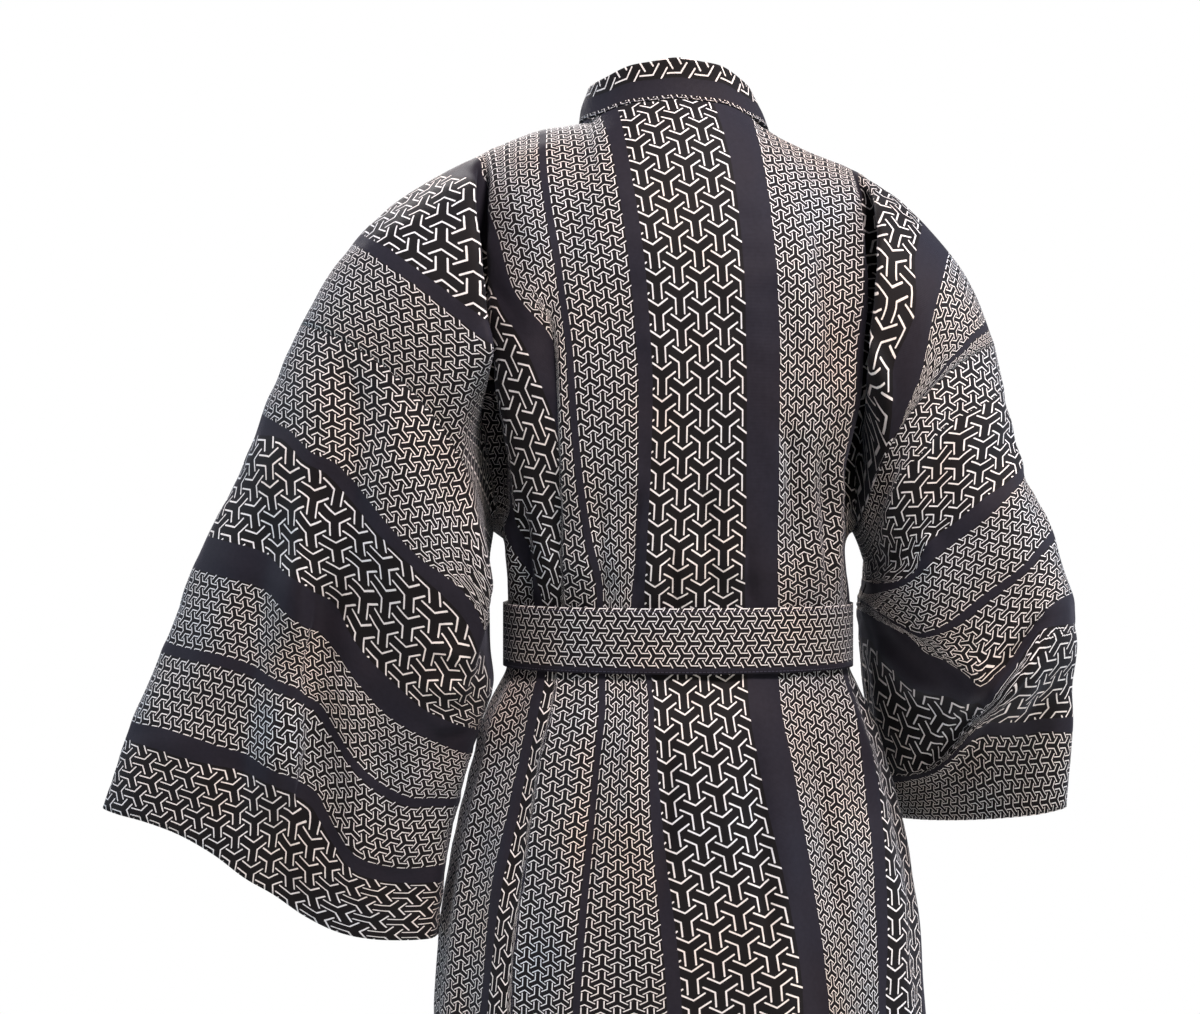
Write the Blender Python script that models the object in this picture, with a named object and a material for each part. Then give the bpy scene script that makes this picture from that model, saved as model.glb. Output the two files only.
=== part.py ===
"""A happi coat as it hangs when worn: back, two fronts, two wide sleeves, a collar band and a tied belt.

Metres, +Z up. The coat faces -Y and its left side is +X. The origin lies in the middle of the neck, level
with the shoulders that carry the coat. Each piece is a wall of cloth laid through sections of the coat.
"""
import math

import bmesh
import bpy
import numpy as np

LEFT, RIGHT = 1, -1
HALF_TURN = math.pi

CLOTH = 0.0012
BAND = 0.0022
SEAM_GAP = 0.0005

NECK_HALF_WIDTH = 0.0775
NECK_SCOOP = 0.070
NECK_RISE = 0.042
ARMHOLE = 0.38
SLEEVE_LENGTH = 0.44
COAT_DROP = 0.965
COLLAR_WIDTH = 0.045
COLLAR_STAND = 0.033
COLLAR_LEAN = {LEFT: 0.007, RIGHT: 0.013}
LAP_LIFT = 0.0060
ARM_ARCH = 0.43
ARM_SWELL = 0.14
SEAM_PASSES_RIDGE = 0.279
BELT_LIFT_BACK = 0.0034
BELT_LIFT_FRONT = 0.0096
BELT_END_WIDTH = 0.046
KNOT_SIZE = (0.066, 0.024, 0.052)
KNOT_PLACE = (0.0, -0.1201, -0.421)
KNOT_SQUARE = 3.2
KNOT_GROOVE = 0.22

BELT_DROPS = (0.449, 0.475, 0.501)
BELT_CELLS = 44
BELT_END_CELLS = 10
NECK_CELLS = 4
SHOULDER_CELLS = 6
ARM_CELLS = 10
VALLEY = 0.010
BOTTOM_CELLS = (2, 3)
RIDGE_CELL = 5
UNDERARM_Y = -0.015

ARMHOLE_ROWS = (0.0, 0.018, 0.042, 0.072, 0.105, 0.14, 0.175, 0.21, 0.245, 0.28, 0.305, 0.33, 0.355, ARMHOLE)
SKIRT_ROWS = (0.400, 0.420, 0.434, 0.447, 0.475, 0.503, 0.518, 0.54, 0.575, 0.62, 0.68, 0.75, 0.82, 0.89, COAT_DROP)
CLOTH_COLOUR = (0.13, 0.125, 0.13)

ALL_ROWS = ARMHOLE_ROWS + SKIRT_ROWS
SLEEVE_ROWS = (0.0, 0.015, 0.035, 0.06, 0.09, 0.12, 0.155, 0.195, 0.232, 0.265, 0.29, 0.315, 0.35, 0.39, SLEEVE_LENGTH)


class Table:
    """Rows of sizes with named columns; any column is read between its rows on a smooth monotone curve."""

    def __init__(self, names, *rows):
        self.names = names.split()
        self.rows = np.array(rows, float)

    def at(self, place, *names):
        values = [self._read(place, self.names.index(name)) for name in names]
        return values[0] if len(names) == 1 else values

    def _read(self, place, column):
        keys = self.rows[:, 0]
        values = self.rows[:, column]
        place = np.clip(place, keys[0], keys[-1])
        i = int(np.clip(np.searchsorted(keys, place) - 1, 0, len(keys) - 2))
        width = keys[i + 1] - keys[i]
        slopes = np.diff(values) / np.diff(keys)
        start = self._slope(slopes, i)
        end = self._slope(slopes, i + 1)
        t = (place - keys[i]) / width
        return (
            values[i] * (1 + 2 * t) * (1 - t) ** 2
            + values[i + 1] * t * t * (3 - 2 * t)
            + width * start * t * (1 - t) ** 2
            - width * end * t * t * (1 - t)
        )

    @staticmethod
    def _slope(slopes, i):
        if i == 0:
            return slopes[0]
        if i == len(slopes):
            return slopes[-1]
        before, after = slopes[i - 1], slopes[i]
        if before * after <= 0:
            return 0.0
        return 2 * before * after / (before + after)


# The ring of the body at each drop down the cloth from the shoulder line: its height, half width, depth of
# back and front, how square it is, how far it shifts to the side, and the angles from the back's middle to
# the side seam and to the fold line beside the arm.
BODY = Table(
    "drop height half back front square shift seam_angle fold_angle",
    (0.000, 0.000, 0.165, 0.000, 0.000, 3.6, 0.0, 95, 62),
    (0.020, -0.004, 0.165, 0.019, 0.019, 3.6, 0.0, 95, 62),
    (0.045, -0.015, 0.165, 0.040, 0.040, 3.6, 0.0, 95, 62),
    (0.075, -0.034, 0.165, 0.063, 0.058, 3.6, 0.0, 95, 62),
    (0.105, -0.058, 0.165, 0.082, 0.072, 3.6, 0.0, 95, 62),
    (0.140, -0.089, 0.165, 0.098, 0.085, 3.6, 0.0, 95, 62),
    (0.210, -0.156, 0.165, 0.114, 0.100, 3.6, 0.0, 95, 62),
    (0.280, -0.225, 0.160, 0.116, 0.106, 3.4, 0.0, 95, 62),
    (0.330, -0.278, 0.150, 0.113, 0.107, 3.0, 0.0, 96, 62),
    (0.380, -0.328, 0.1400, 0.109, 0.106, 2.5, 0.0, 97, 61),
    (0.420, -0.366, 0.1390, 0.107, 0.103, 2.3, -0.0015, 108, 60),
    (0.446, -0.391, 0.1395, 0.100, 0.097, 2.2, -0.003, 118, 58),
    (0.504, -0.448, 0.1395, 0.100, 0.097, 2.2, -0.003, 120, 57),
    (0.530, -0.474, 0.1500, 0.110, 0.104, 2.2, -0.003, 119, 56),
    (0.580, -0.522, 0.1640, 0.122, 0.112, 2.2, -0.004, 116, 55),
    (0.680, -0.620, 0.1850, 0.135, 0.122, 2.2, -0.004, 112, 54),
    (0.800, -0.738, 0.1940, 0.141, 0.127, 2.2, -0.004, 110, 53),
    (COAT_DROP, -0.900, 0.1990, 0.145, 0.130, 2.2, -0.004, 108, 53),
)

# Height of the shoulder line at each distance out from the middle.
SHOULDER = Table(
    "out left right",
    (0.0, NECK_RISE, NECK_RISE),
    (0.030, 0.036, 0.036),
    (0.060, 0.016, 0.014),
    (NECK_HALF_WIDTH, 0.0, -0.006),
    (0.106, -0.004, -0.021),
    (0.152, -0.021, -0.040),
    (0.193, -0.036, -0.076),
    (0.226, -0.054, -0.118),
)

# The deep fold between body and arm, on the back and on the front: how far out its ridge stands, how far
# back (or forward) the ridge lies, and how deep the fold is.
ARM_FOLD = {
    (LEFT, "back"): Table(
        "drop out ridge depth",
        (0.00, 0.152, 0.000, 0.000),
        (0.02, 0.152, 0.022, 0.002),
        (0.05, 0.150, 0.045, 0.004),
        (0.10, 0.149, 0.086, 0.025),
        (0.16, 0.148, 0.110, 0.055),
        (0.22, 0.144, 0.114, 0.072),
        (0.28, 0.136, 0.114, 0.080),
        (0.33, 0.128, 0.108, 0.068),
        (ARMHOLE, 0.124, 0.098, 0.060),
    ),
    (RIGHT, "back"): Table(
        "drop out ridge depth",
        (0.00, 0.140, 0.000, 0.000),
        (0.02, 0.140, 0.022, 0.002),
        (0.05, 0.143, 0.045, 0.004),
        (0.10, 0.147, 0.086, 0.024),
        (0.16, 0.148, 0.108, 0.052),
        (0.22, 0.144, 0.110, 0.070),
        (0.28, 0.139, 0.108, 0.078),
        (0.33, 0.129, 0.103, 0.060),
        (ARMHOLE, 0.124, 0.096, 0.050),
    ),
    (LEFT, "front"): Table(
        "drop out ridge depth",
        (0.00, 0.152, 0.000, 0.000),
        (0.02, 0.152, 0.022, 0.002),
        (0.05, 0.148, 0.043, 0.005),
        (0.10, 0.145, 0.076, 0.023),
        (0.16, 0.144, 0.094, 0.044),
        (0.22, 0.142, 0.098, 0.060),
        (0.28, 0.137, 0.098, 0.058),
        (0.33, 0.130, 0.092, 0.044),
        (ARMHOLE, 0.124, 0.084, 0.038),
    ),
    (RIGHT, "front"): Table(
        "drop out ridge depth",
        (0.00, 0.140, 0.000, 0.000),
        (0.02, 0.141, 0.022, 0.002),
        (0.05, 0.143, 0.043, 0.005),
        (0.10, 0.146, 0.076, 0.023),
        (0.16, 0.146, 0.096, 0.044),
        (0.22, 0.144, 0.100, 0.060),
        (0.28, 0.138, 0.100, 0.058),
        (0.33, 0.131, 0.094, 0.044),
        (ARMHOLE, 0.124, 0.086, 0.038),
    ),
}

# Each sleeve's ring at a distance along the sleeve: its top and low points, how far it stands back and
# front of the line between them, how narrow it ends below, how that line sags and swings, a pointed dip, the
# step of a soft fold, and how far the low back hooks in behind the body.
SLEEVE = {
    LEFT: Table(
        "along top_out top_y top_z low_out low_y low_z back front low_end sag swing dip dip_at fold fold_at hook",
        (0.00, 0.304, 0.000, -0.169, 0.150, UNDERARM_Y, -0.335, 0.112, 0.090, 1.1, -0.033, 0.0, 0.0, 0.5, 0.0, 0.2, 0.0),
        (0.045, 0.322, 0.0, -0.208, 0.156, -0.006, -0.366, 0.112, 0.092, 0.9, -0.030, 0.003, 0.0, 0.5, 0.002, 0.2, 0.020),
        (0.09, 0.338, 0.0, -0.250, 0.157, 0.002, -0.396, 0.108, 0.092, 0.7, -0.014, 0.006, 0.0, 0.5, 0.006, 0.22, 0.038),
        (0.14, 0.358, 0.0, -0.296, 0.162, 0.006, -0.446, 0.096, 0.086, 0.62, -0.006, 0.012, 0.0, 0.5, 0.01, 0.28, 0.034),
        (0.20, 0.384, 0.004, -0.345, 0.171, 0.010, -0.500, 0.080, 0.078, 0.62, 0.0, 0.018, 0.0, 0.5, 0.014, 0.35, 0.016),
        (0.283, 0.417, 0.006, -0.426, 0.184, 0.012, -0.556, 0.068, 0.070, 0.62, 0.004, 0.021, 0.0, 0.5, 0.015, 0.44, 0.0),
        (0.356, 0.446, 0.008, -0.500, 0.194, 0.012, -0.611, 0.060, 0.062, 0.62, 0.005, 0.020, 0.0, 0.5, 0.015, 0.50, 0.0),
        (SLEEVE_LENGTH, 0.466, 0.010, -0.560, 0.199, 0.012, -0.662, 0.052, 0.056, 0.62, 0.006, 0.014, 0.0, 0.5, 0.015, 0.50, 0.0),
    ),
    RIGHT: Table(
        "along top_out top_y top_z low_out low_y low_z back front low_end sag swing dip dip_at fold fold_at hook",
        (0.00, 0.258, 0.000, -0.184, 0.150, UNDERARM_Y, -0.335, 0.112, 0.090, 1.0, -0.030, 0.0, 0.0, 0.42, 0.0, 0.5, 0.0),
        (0.03, 0.264, 0.006, -0.222, 0.161, -0.014, -0.360, 0.112, 0.094, 1.0, -0.022, 0.0, 0.0, 0.42, 0.0, 0.5, 0.0),
        (0.12, 0.277, 0.026, -0.290, 0.160, -0.006, -0.380, 0.104, 0.100, 0.62, 0.002, 0.0, 0.006, 0.45, 0.0, 0.5, 0.006),
        (0.195, 0.295, 0.040, -0.334, 0.157, -0.012, -0.392, 0.104, 0.106, 0.62, 0.014, 0.0, 0.022, 0.45, 0.0, 0.5, 0.008),
        (0.265, 0.311, 0.046, -0.393, 0.158, -0.024, -0.402, 0.104, 0.106, 0.62, 0.014, 0.0, 0.056, 0.42, 0.0, 0.5, 0.006),
        (0.295, 0.315, 0.044, -0.424, 0.161, -0.036, -0.428, 0.086, 0.102, 0.62, 0.012, 0.0, 0.046, 0.42, 0.0, 0.5, 0.0),
        (0.32, 0.316, 0.040, -0.449, 0.166, -0.050, -0.464, 0.066, 0.100, 0.62, 0.010, 0.0, 0.030, 0.45, 0.0, 0.5, 0.0),
        (0.365, 0.317, 0.032, -0.490, 0.175, -0.074, -0.522, 0.060, 0.094, 0.62, 0.006, 0.0, 0.008, 0.50, 0.0, 0.5, 0.0),
        (SLEEVE_LENGTH, 0.316, 0.020, -0.556, 0.189, -0.098, -0.582, 0.054, 0.088, 0.62, 0.002, 0.0, 0.0, 0.50, 0.0, 0.5, 0.0),
    ),
}

# How far out each front's own edge lies at each drop; past the middle it is below zero.
FRONT_EDGE = Table(
    "drop left right",
    (0.000, NECK_HALF_WIDTH, NECK_HALF_WIDTH),
    (0.020, 0.0765, 0.0765),
    (0.045, 0.073, 0.073),
    (0.075, 0.067, 0.067),
    (0.105, 0.059, 0.059),
    (0.140, 0.049, 0.049),
    (0.175, 0.037, 0.038),
    (0.210, 0.025, 0.028),
    (0.245, 0.013, 0.019),
    (0.280, 0.002, 0.011),
    (0.330, -0.012, 0.002),
    (0.380, -0.025, -0.006),
    (0.450, -0.038, -0.014),
    (0.500, -0.043, -0.018),
    (0.680, -0.055, -0.026),
    (COAT_DROP, -0.066, -0.034),
)

# Each hanging end of the belt by the share of its length: the drop, how far left of the middle it lies, its
# width and how far it stands off the body.
BELT_END = {
    LEFT: Table(
        "share drop out width lift",
        (0.00, 0.499, 0.0135, 0.024, 0.0122),
        (0.08, 0.515, 0.0165, 0.030, 0.0130),
        (0.25, 0.545, 0.0250, 0.042, 0.0130),
        (0.60, 0.630, 0.0340, BELT_END_WIDTH, 0.0140),
        (1.00, 0.725, 0.0430, BELT_END_WIDTH, 0.0160),
    ),
    RIGHT: Table(
        "share drop out width lift",
        (0.00, 0.499, -0.0135, 0.024, 0.0122),
        (0.08, 0.515, -0.0165, 0.030, 0.0130),
        (0.25, 0.542, -0.0240, 0.042, 0.0135),
        (0.60, 0.620, -0.0270, BELT_END_WIDTH, 0.0150),
        (1.00, 0.700, -0.0310, BELT_END_WIDTH, 0.0170),
    ),
}

# The body's soft folds above and below the belt: the angle round from the back's middle, the width, and the
# height of each fold above the belt, under it and at the hem.
BODY_FOLDS = Table(
    "angle width above below hem",
    (-152, 9, 0.004, 0.006, 0.008),
    (-120, 8, 0.005, 0.006, 0.010),
    (-88, 8, 0.000, 0.006, 0.009),
    (-62, 7, 0.005, 0.006, 0.010),
    (-42, 6, 0.004, 0.004, 0.003),
    (-20, 6, 0.003, 0.004, 0.006),
    (8, 6, 0.003, 0.003, 0.001),
    (27, 6, 0.004, 0.006, 0.008),
    (48, 6, 0.005, 0.006, 0.004),
    (68, 7, 0.005, 0.007, 0.010),
    (94, 8, 0.000, 0.006, 0.009),
    (124, 8, 0.005, 0.006, 0.010),
    (156, 9, 0.004, 0.006, 0.007),
)

# How strongly those folds show at each drop.
FOLD_SHARE = Table(
    "drop above below hem",
    (0.00, 0.0, 0.0, 0.0),
    (0.27, 0.0, 0.0, 0.0),
    (0.33, 0.3, 0.0, 0.0),
    (0.41, 1.0, 0.0, 0.0),
    (0.435, 0.6, 0.0, 0.0),
    (0.447, 0.1, 0.1, 0.0),
    (0.503, 0.1, 0.1, 0.0),
    (0.515, 0.0, 0.5, 0.0),
    (0.55, 0.0, 1.0, 0.0),
    (0.70, 0.0, 0.7, 0.4),
    (COAT_DROP, 0.0, 0.2, 1.0),
)


def smooth_step(value):
    value = min(max(value, 0.0), 1.0)
    return value * value * (3 - 2 * value)


def signed_power(value, power):
    return math.copysign(abs(value) ** power, value)


def fold_height(angle, drop):
    """How far the folds lift the body's cloth at an angle round the body."""
    above, below, hem = FOLD_SHARE.at(drop, "above", "below", "hem")
    total = 0.0
    for place, width, high_above, high_below, high_hem in BODY_FOLDS.rows:
        off = (angle - place) / width
        bump = math.exp(-off * off)
        total += bump * (above * high_above + below * high_below + hem * high_hem)
    return total


def body_point(angle, drop, lift=0.0):
    """A point of the body's ring; the angle is in degrees from the back's middle towards the left."""
    height, half, back, front = BODY.at(drop, "height", "half", "back", "front")
    square, shift = BODY.at(drop, "square", "shift")
    turn = math.radians(angle)
    depth = back if math.cos(turn) > 0 else front
    out = lift + fold_height(angle, drop)
    x = (half + out) * signed_power(math.sin(turn), 2 / square)
    y = (depth + out) * signed_power(math.cos(turn), 2 / square)
    return np.array((x + shift, y, height))


def shoulder_rise(side, out, drop):
    """How far the shoulder line lifts a point over its drop; it fades out towards the belt."""
    line = SHOULDER.at(abs(out), "left" if side == LEFT else "right")
    return line * (1 - smooth_step(drop / 0.45))


def torso_point(side, face, out, drop, lift=0.0):
    """A point between the two arm folds, at a distance out from the middle."""
    height, half, depth, square, shift = BODY.at(drop, "height", "half", face, "square", "shift")
    across = min(abs(out) / half, 0.999)
    angle = math.degrees(math.asin(across ** (square / 2)))
    if face == "front":
        angle = 180 - angle
    swell = fold_height(side * math.copysign(angle, out), drop) + lift
    y = depth * (1 - across ** square) ** (1 / square) + swell
    y = y if face == "back" else -y
    return np.array((side * out + shift, y, height + shoulder_rise(side, out, drop)))


def sleeve_ring(side, along):
    """The closed ring of a sleeve, dense: the back half from the top to the low point, then the front half."""
    row = dict(zip(SLEEVE[side].names, SLEEVE[side].at(along, *SLEEVE[side].names)))
    top = np.array((side * row["top_out"], row["top_y"], row["top_z"]))
    low = np.array((side * row["low_out"], row["low_y"], row["low_z"]))
    line = low - top
    across = np.array((line[2], 0.0, -line[0])) / math.hypot(line[0], line[2]) * side
    points = []
    for step in range(240):
        turn = 2 * HALF_TURN * step / 240
        share = (1 - math.cos(turn)) / 2
        round_off = abs(math.sin(turn)) ** (0.62 + (row["low_end"] - 0.62) * smooth_step(share * 1.6 - 0.5))
        drift = row["swing"] * math.sin(2 * HALF_TURN * share) - row["sag"] * math.sin(turn) ** 2
        beside = abs(share - row["dip_at"]) / (row["dip_at"] if share < row["dip_at"] else 1 - row["dip_at"])
        on_back = turn < HALF_TURN
        if on_back:
            drift -= row["dip"] * (1 - beside) ** 1.15
        depth = row["back"] * round_off if on_back else -row["front"] * round_off
        past = share - row["fold_at"]
        if on_back and past > 0:
            depth -= row["fold"] * smooth_step(past / 0.06) * (1 - smooth_step((past - 0.06) / 0.3))
        point = top + line * share + across * drift
        point[1] += depth
        if on_back:
            point[0] -= side * row["hook"] * math.exp(-((share - 0.84) / 0.11) ** 2)
        points.append(point)
    return np.array(points)


def spread(points, shares):
    """Points at the given shares of a polyline's length."""
    steps = np.linalg.norm(np.diff(points, axis=0), axis=1)
    along = np.concatenate(((0.0,), np.cumsum(steps)))
    wanted = np.asarray(shares) * along[-1]
    return np.stack([np.interp(wanted, along, points[:, axis]) for axis in range(3)], axis=1)


def half_ring(side, along, face):
    """A sleeve ring's back or front half at the armhole's rows, from the top to the low point."""
    ring = sleeve_ring(side, along)
    half = len(ring) // 2
    if face == "back":
        points = ring[: half + 1]
    else:
        points = np.concatenate((ring[half:], ring[:1]))[::-1]
    return spread(points, np.array(ARMHOLE_ROWS) / ARMHOLE)


def soften(points, rounds=14):
    """Rounds a polyline's corners and keeps its two ends."""
    for _ in range(rounds):
        middle = (points[:-2] + 2 * points[1:-1] + points[2:]) / 4
        points = np.concatenate((points[:1], middle, points[-1:]))
    return points


def arm_row(side, face, drop, seam_point):
    """The row of a body panel from the arm fold, down into it, out again and over the arm to the sleeve seam."""
    out, ridge, depth = ARM_FOLD[(side, face)].at(drop, "out", "ridge", "depth")
    start = torso_point(side, face, out, drop)
    sign = 1 if face == "back" else -1
    open_up = smooth_step(drop / 0.12)
    bottom = start + np.array((side * 0.005, 0.0, -0.004)) * open_up
    bottom[1] -= sign * depth
    past_ridge = drop > SEAM_PASSES_RIDGE
    if past_ridge:
        bottom[0] = side * max(out + 0.005, abs(seam_point[0]) - 0.014)
        deepest = sign * UNDERARM_Y + 0.007
        bottom[1] = sign * max(min(sign * bottom[1], sign * seam_point[1] - 0.003), deepest)
    outer_bottom = bottom + np.array((side * VALLEY * open_up, 0.0, 0.0))
    mouth = 0.0015 + 0.012 * (1 - smooth_step(drop / 0.17))
    wall = start + np.array((side * (mouth + (0.014 - mouth) * open_up), 0.0, -mouth * 0.6))
    wall[1] = sign * (ridge - depth * 0.45)
    edge = np.array((side * (out + mouth), sign * ridge, start[2] - mouth * 0.6))
    if past_ridge:
        keys = [start, bottom, outer_bottom, seam_point]
    else:
        keys = [start, bottom, outer_bottom, wall, edge, seam_point]
    points = [start]
    for first, last in zip(keys[:-1], keys[1:]):
        span = last - first
        length = np.linalg.norm(span)
        outward = np.array((-span[2] * side, 0.0, span[0] * side))
        outward /= max(np.linalg.norm(outward), 1e-9)
        for step in range(1, 25):
            share = step / 24
            point = first + span * share
            if last is seam_point and not past_ridge:
                point = point + outward * length * ARM_ARCH * share * (1 - share)
                point[1] += sign * ARM_SWELL * length * share * (1 - share) * open_up
            points.append(point)
    return spread(soften(np.array(points)), row_shares(keys))


def row_shares(keys):
    """Where the cells of an arm row lie: the fold's bottom and its ridge stay on the same cells."""
    lengths = np.linalg.norm(np.diff(np.array(keys), axis=0), axis=1)
    cells = [0, *BOTTOM_CELLS, ARM_CELLS]
    first = max(lengths[0], 0.012)
    second = first + max(lengths[1], 0.005)
    along = [0, first, second, sum(lengths)]
    if len(keys) == 6:
        cells.insert(3, RIDGE_CELL)
        along.insert(3, second + max(sum(lengths[2:4]), 0.012))
    return np.interp(np.arange(ARM_CELLS + 1), cells, np.array(along) / along[-1])


def outer_row(side, face, index, seam_edge):
    """The part of a body panel's row beyond the fold line. The armhole's last row follows the body round to
    its side, bent only to meet the sleeve seam's low point, and the row above it lies halfway."""
    drop = ALL_ROWS[index]
    last = len(ARMHOLE_ROWS) - 1
    if index < last - 1:
        return arm_row(side, face, drop, seam_edge[index])
    row = side_row(side, face, drop)
    if index <= last:
        miss = seam_edge[index] - row[-1]
        row = row + np.linspace(0, 1, len(row))[:, None] ** 2 * miss
    if index == last - 1:
        row = (row + arm_row(side, face, drop, seam_edge[index])) / 2
    return row


def side_row(side, face, drop):
    """The row of a body panel from the fold line round the body to the side seam, below the armhole."""
    seam, fold = BODY.at(drop, "seam_angle", "fold_angle")
    start = fold if face == "back" else 180 - (180 - seam) * 0.55
    angles = np.linspace(start, seam, ARM_CELLS + 1)
    return np.array([body_point(side * angle, drop) for angle in angles])


def lap_lift(side, out, drop):
    """The left front lies over the right one: how far it stands off where the two lap."""
    if side == RIGHT:
        return 0.0
    return LAP_LIFT * smooth_step((0.118 - out) / 0.035) * smooth_step((drop - 0.11) / 0.05)


def back_half_row(side, index, drop, seam_edge):
    """Half a row of the back, from the middle out to the sleeve seam or the side seam."""
    arm = outer_row(side, "back", index, seam_edge)
    fold_out = abs(arm[0][0] - BODY.at(drop, "shift"))
    row = []
    for step in range(NECK_CELLS + SHOULDER_CELLS):
        if step < NECK_CELLS:
            out = NECK_HALF_WIDTH * step / NECK_CELLS
            out *= min(1.0, fold_out * 0.52 / NECK_HALF_WIDTH) if drop > ARMHOLE else 1.0
            scoop = NECK_SCOOP * math.sqrt(1 - (step / NECK_CELLS) ** 2)
        else:
            near = NECK_HALF_WIDTH
            near *= min(1.0, fold_out * 0.52 / NECK_HALF_WIDTH) if drop > ARMHOLE else 1.0
            out = near + (fold_out - near) * (step - NECK_CELLS) / SHOULDER_CELLS
            scoop = 0.0
        down = drop + scoop * max(0.0, 1 - drop / 0.28)
        row.append(torso_point(side, "back", out, down))
    return np.array(row + list(arm))


def front_row(side, index, drop, seam_edge):
    """A row of a front, from its own edge out to the sleeve seam or the side seam."""
    arm = outer_row(side, "front", index, seam_edge)
    edge = FRONT_EDGE.at(drop, "left" if side == LEFT else "right")
    fold_out = abs(arm[0][0] - BODY.at(drop, "shift"))
    row = []
    for step in range(SHOULDER_CELLS):
        out = edge + (fold_out - edge) * step / SHOULDER_CELLS
        row.append(torso_point(side, "front", out, drop, lap_lift(side, out, drop)))
    for point in arm:
        lift = lap_lift(side, abs(point[0]), drop) if drop > 0.3 else 0.0
        row.append(point - np.array((0.0, lift, 0.0)))
    return np.array(row)


def normals_of(grid, wrap=False):
    """The unit normals of a grid of points, by its rows and columns."""
    if wrap:
        along = np.roll(grid, -1, axis=1) - np.roll(grid, 1, axis=1)
    else:
        along = np.gradient(grid, axis=1)
    down = np.gradient(grid, axis=0)
    normals = np.cross(along, down)
    normals /= np.maximum(np.linalg.norm(normals, axis=2, keepdims=True), 1e-12)
    if wrap:
        return normals
    eased = normals.copy()
    eased[1:-1, 1:-1] += (normals[:-2, 1:-1] + normals[2:, 1:-1] + normals[1:-1, :-2] + normals[1:-1, 2:]) / 2
    return eased / np.maximum(np.linalg.norm(eased, axis=2, keepdims=True), 1e-12)


def share_seam_normals(sheets):
    """Pieces that meet at a seam get the same normals along it, so that their edges lie face to face."""
    meeting = {}
    for grid, normals in sheets:
        rows, columns = grid.shape[:2]
        for r in range(rows):
            for c in range(columns):
                if r in (0, rows - 1) or c in (0, columns - 1):
                    key = tuple(np.round(grid[r, c], 6) + 0.0)
                    meeting.setdefault(key, []).append(normals[r, c])
    for found in meeting.values():
        middle = sum(found)
        middle = middle / max(np.linalg.norm(middle), 1e-12)
        for normal in found:
            normal[...] = middle


def draw_back(edge, inner, gap=SEAM_GAP / 2):
    """Moves a piece's edge off its seam."""
    step = inner - edge
    step = step / np.maximum(np.linalg.norm(step, axis=-1, keepdims=True), 1e-12)
    edge += step * gap


def cloth_wall(name, grid, normals, thickness, wrap=False):
    """A closed wall of cloth through a grid of points, half its thickness to each side."""
    rows, columns = grid.shape[:2]
    bm = bmesh.new()
    layers = []
    for sign in (1, -1):
        points = grid + normals * (sign * thickness / 2)
        layers.append([[bm.verts.new(points[r, c]) for c in range(columns)] for r in range(rows)])
    outer, inner = layers
    last = columns if wrap else columns - 1
    for r in range(rows - 1):
        for c in range(last):
            d = (c + 1) % columns
            bm.faces.new((outer[r][c], outer[r][d], outer[r + 1][d], outer[r + 1][c]))
            bm.faces.new((inner[r][c], inner[r + 1][c], inner[r + 1][d], inner[r][d]))
    for c in range(last):
        d = (c + 1) % columns
        bm.faces.new((outer[0][d], outer[0][c], inner[0][c], inner[0][d]))
        bm.faces.new((outer[-1][c], outer[-1][d], inner[-1][d], inner[-1][c]))
    if not wrap:
        for r in range(rows - 1):
            bm.faces.new((outer[r][0], outer[r + 1][0], inner[r + 1][0], inner[r][0]))
            bm.faces.new((outer[r + 1][-1], outer[r][-1], inner[r][-1], inner[r + 1][-1]))
    bmesh.ops.recalc_face_normals(bm, faces=bm.faces)
    add_piece(name, bm)


def add_piece(name, bm):
    mesh = bpy.data.meshes.new(name)
    bm.to_mesh(mesh)
    bm.free()
    mesh.shade_smooth()
    mesh.materials.append(cloth_material(name))
    coat.objects.link(bpy.data.objects.new(name, mesh))


def cloth_material(name):
    material = bpy.data.materials.new(name)
    material.use_nodes = True
    shader = material.node_tree.nodes["Principled BSDF"]
    shader.inputs["Base Color"].default_value = (*CLOTH_COLOUR, 1.0)
    shader.inputs["Roughness"].default_value = 0.85
    shader.inputs["Metallic"].default_value = 0.0
    return material


def clear_scene():
    for item in list(bpy.data.objects):
        bpy.data.objects.remove(item)


def make_body_and_sleeves():
    """The back, the fronts and the sleeves, laid together so that their seams match."""
    seams = {}
    for side in (LEFT, RIGHT):
        for face in ("back", "front"):
            seams[(side, face)] = half_ring(side, 0.0, face)
    rows = []
    for index, drop in enumerate(ALL_ROWS):
        left = back_half_row(LEFT, index, drop, seams[(LEFT, "back")])
        right = back_half_row(RIGHT, index, drop, seams[(RIGHT, "back")])
        rows.append(np.concatenate((right[::-1], left[1:])))
    back = np.array(rows)
    fronts = {}
    sleeves = {}
    for side in (LEFT, RIGHT):
        rows = [front_row(side, i, drop, seams[(side, "front")]) for i, drop in enumerate(ALL_ROWS)]
        fronts[side] = np.array(rows)
        rings = []
        for along in SLEEVE_ROWS:
            back_half = half_ring(side, along, "back")
            front_half = half_ring(side, along, "front")
            rings.append(np.concatenate((back_half, front_half[::-1][1:-1])))
        sleeves[side] = np.array(rings)
    return back, fronts, sleeves


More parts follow.
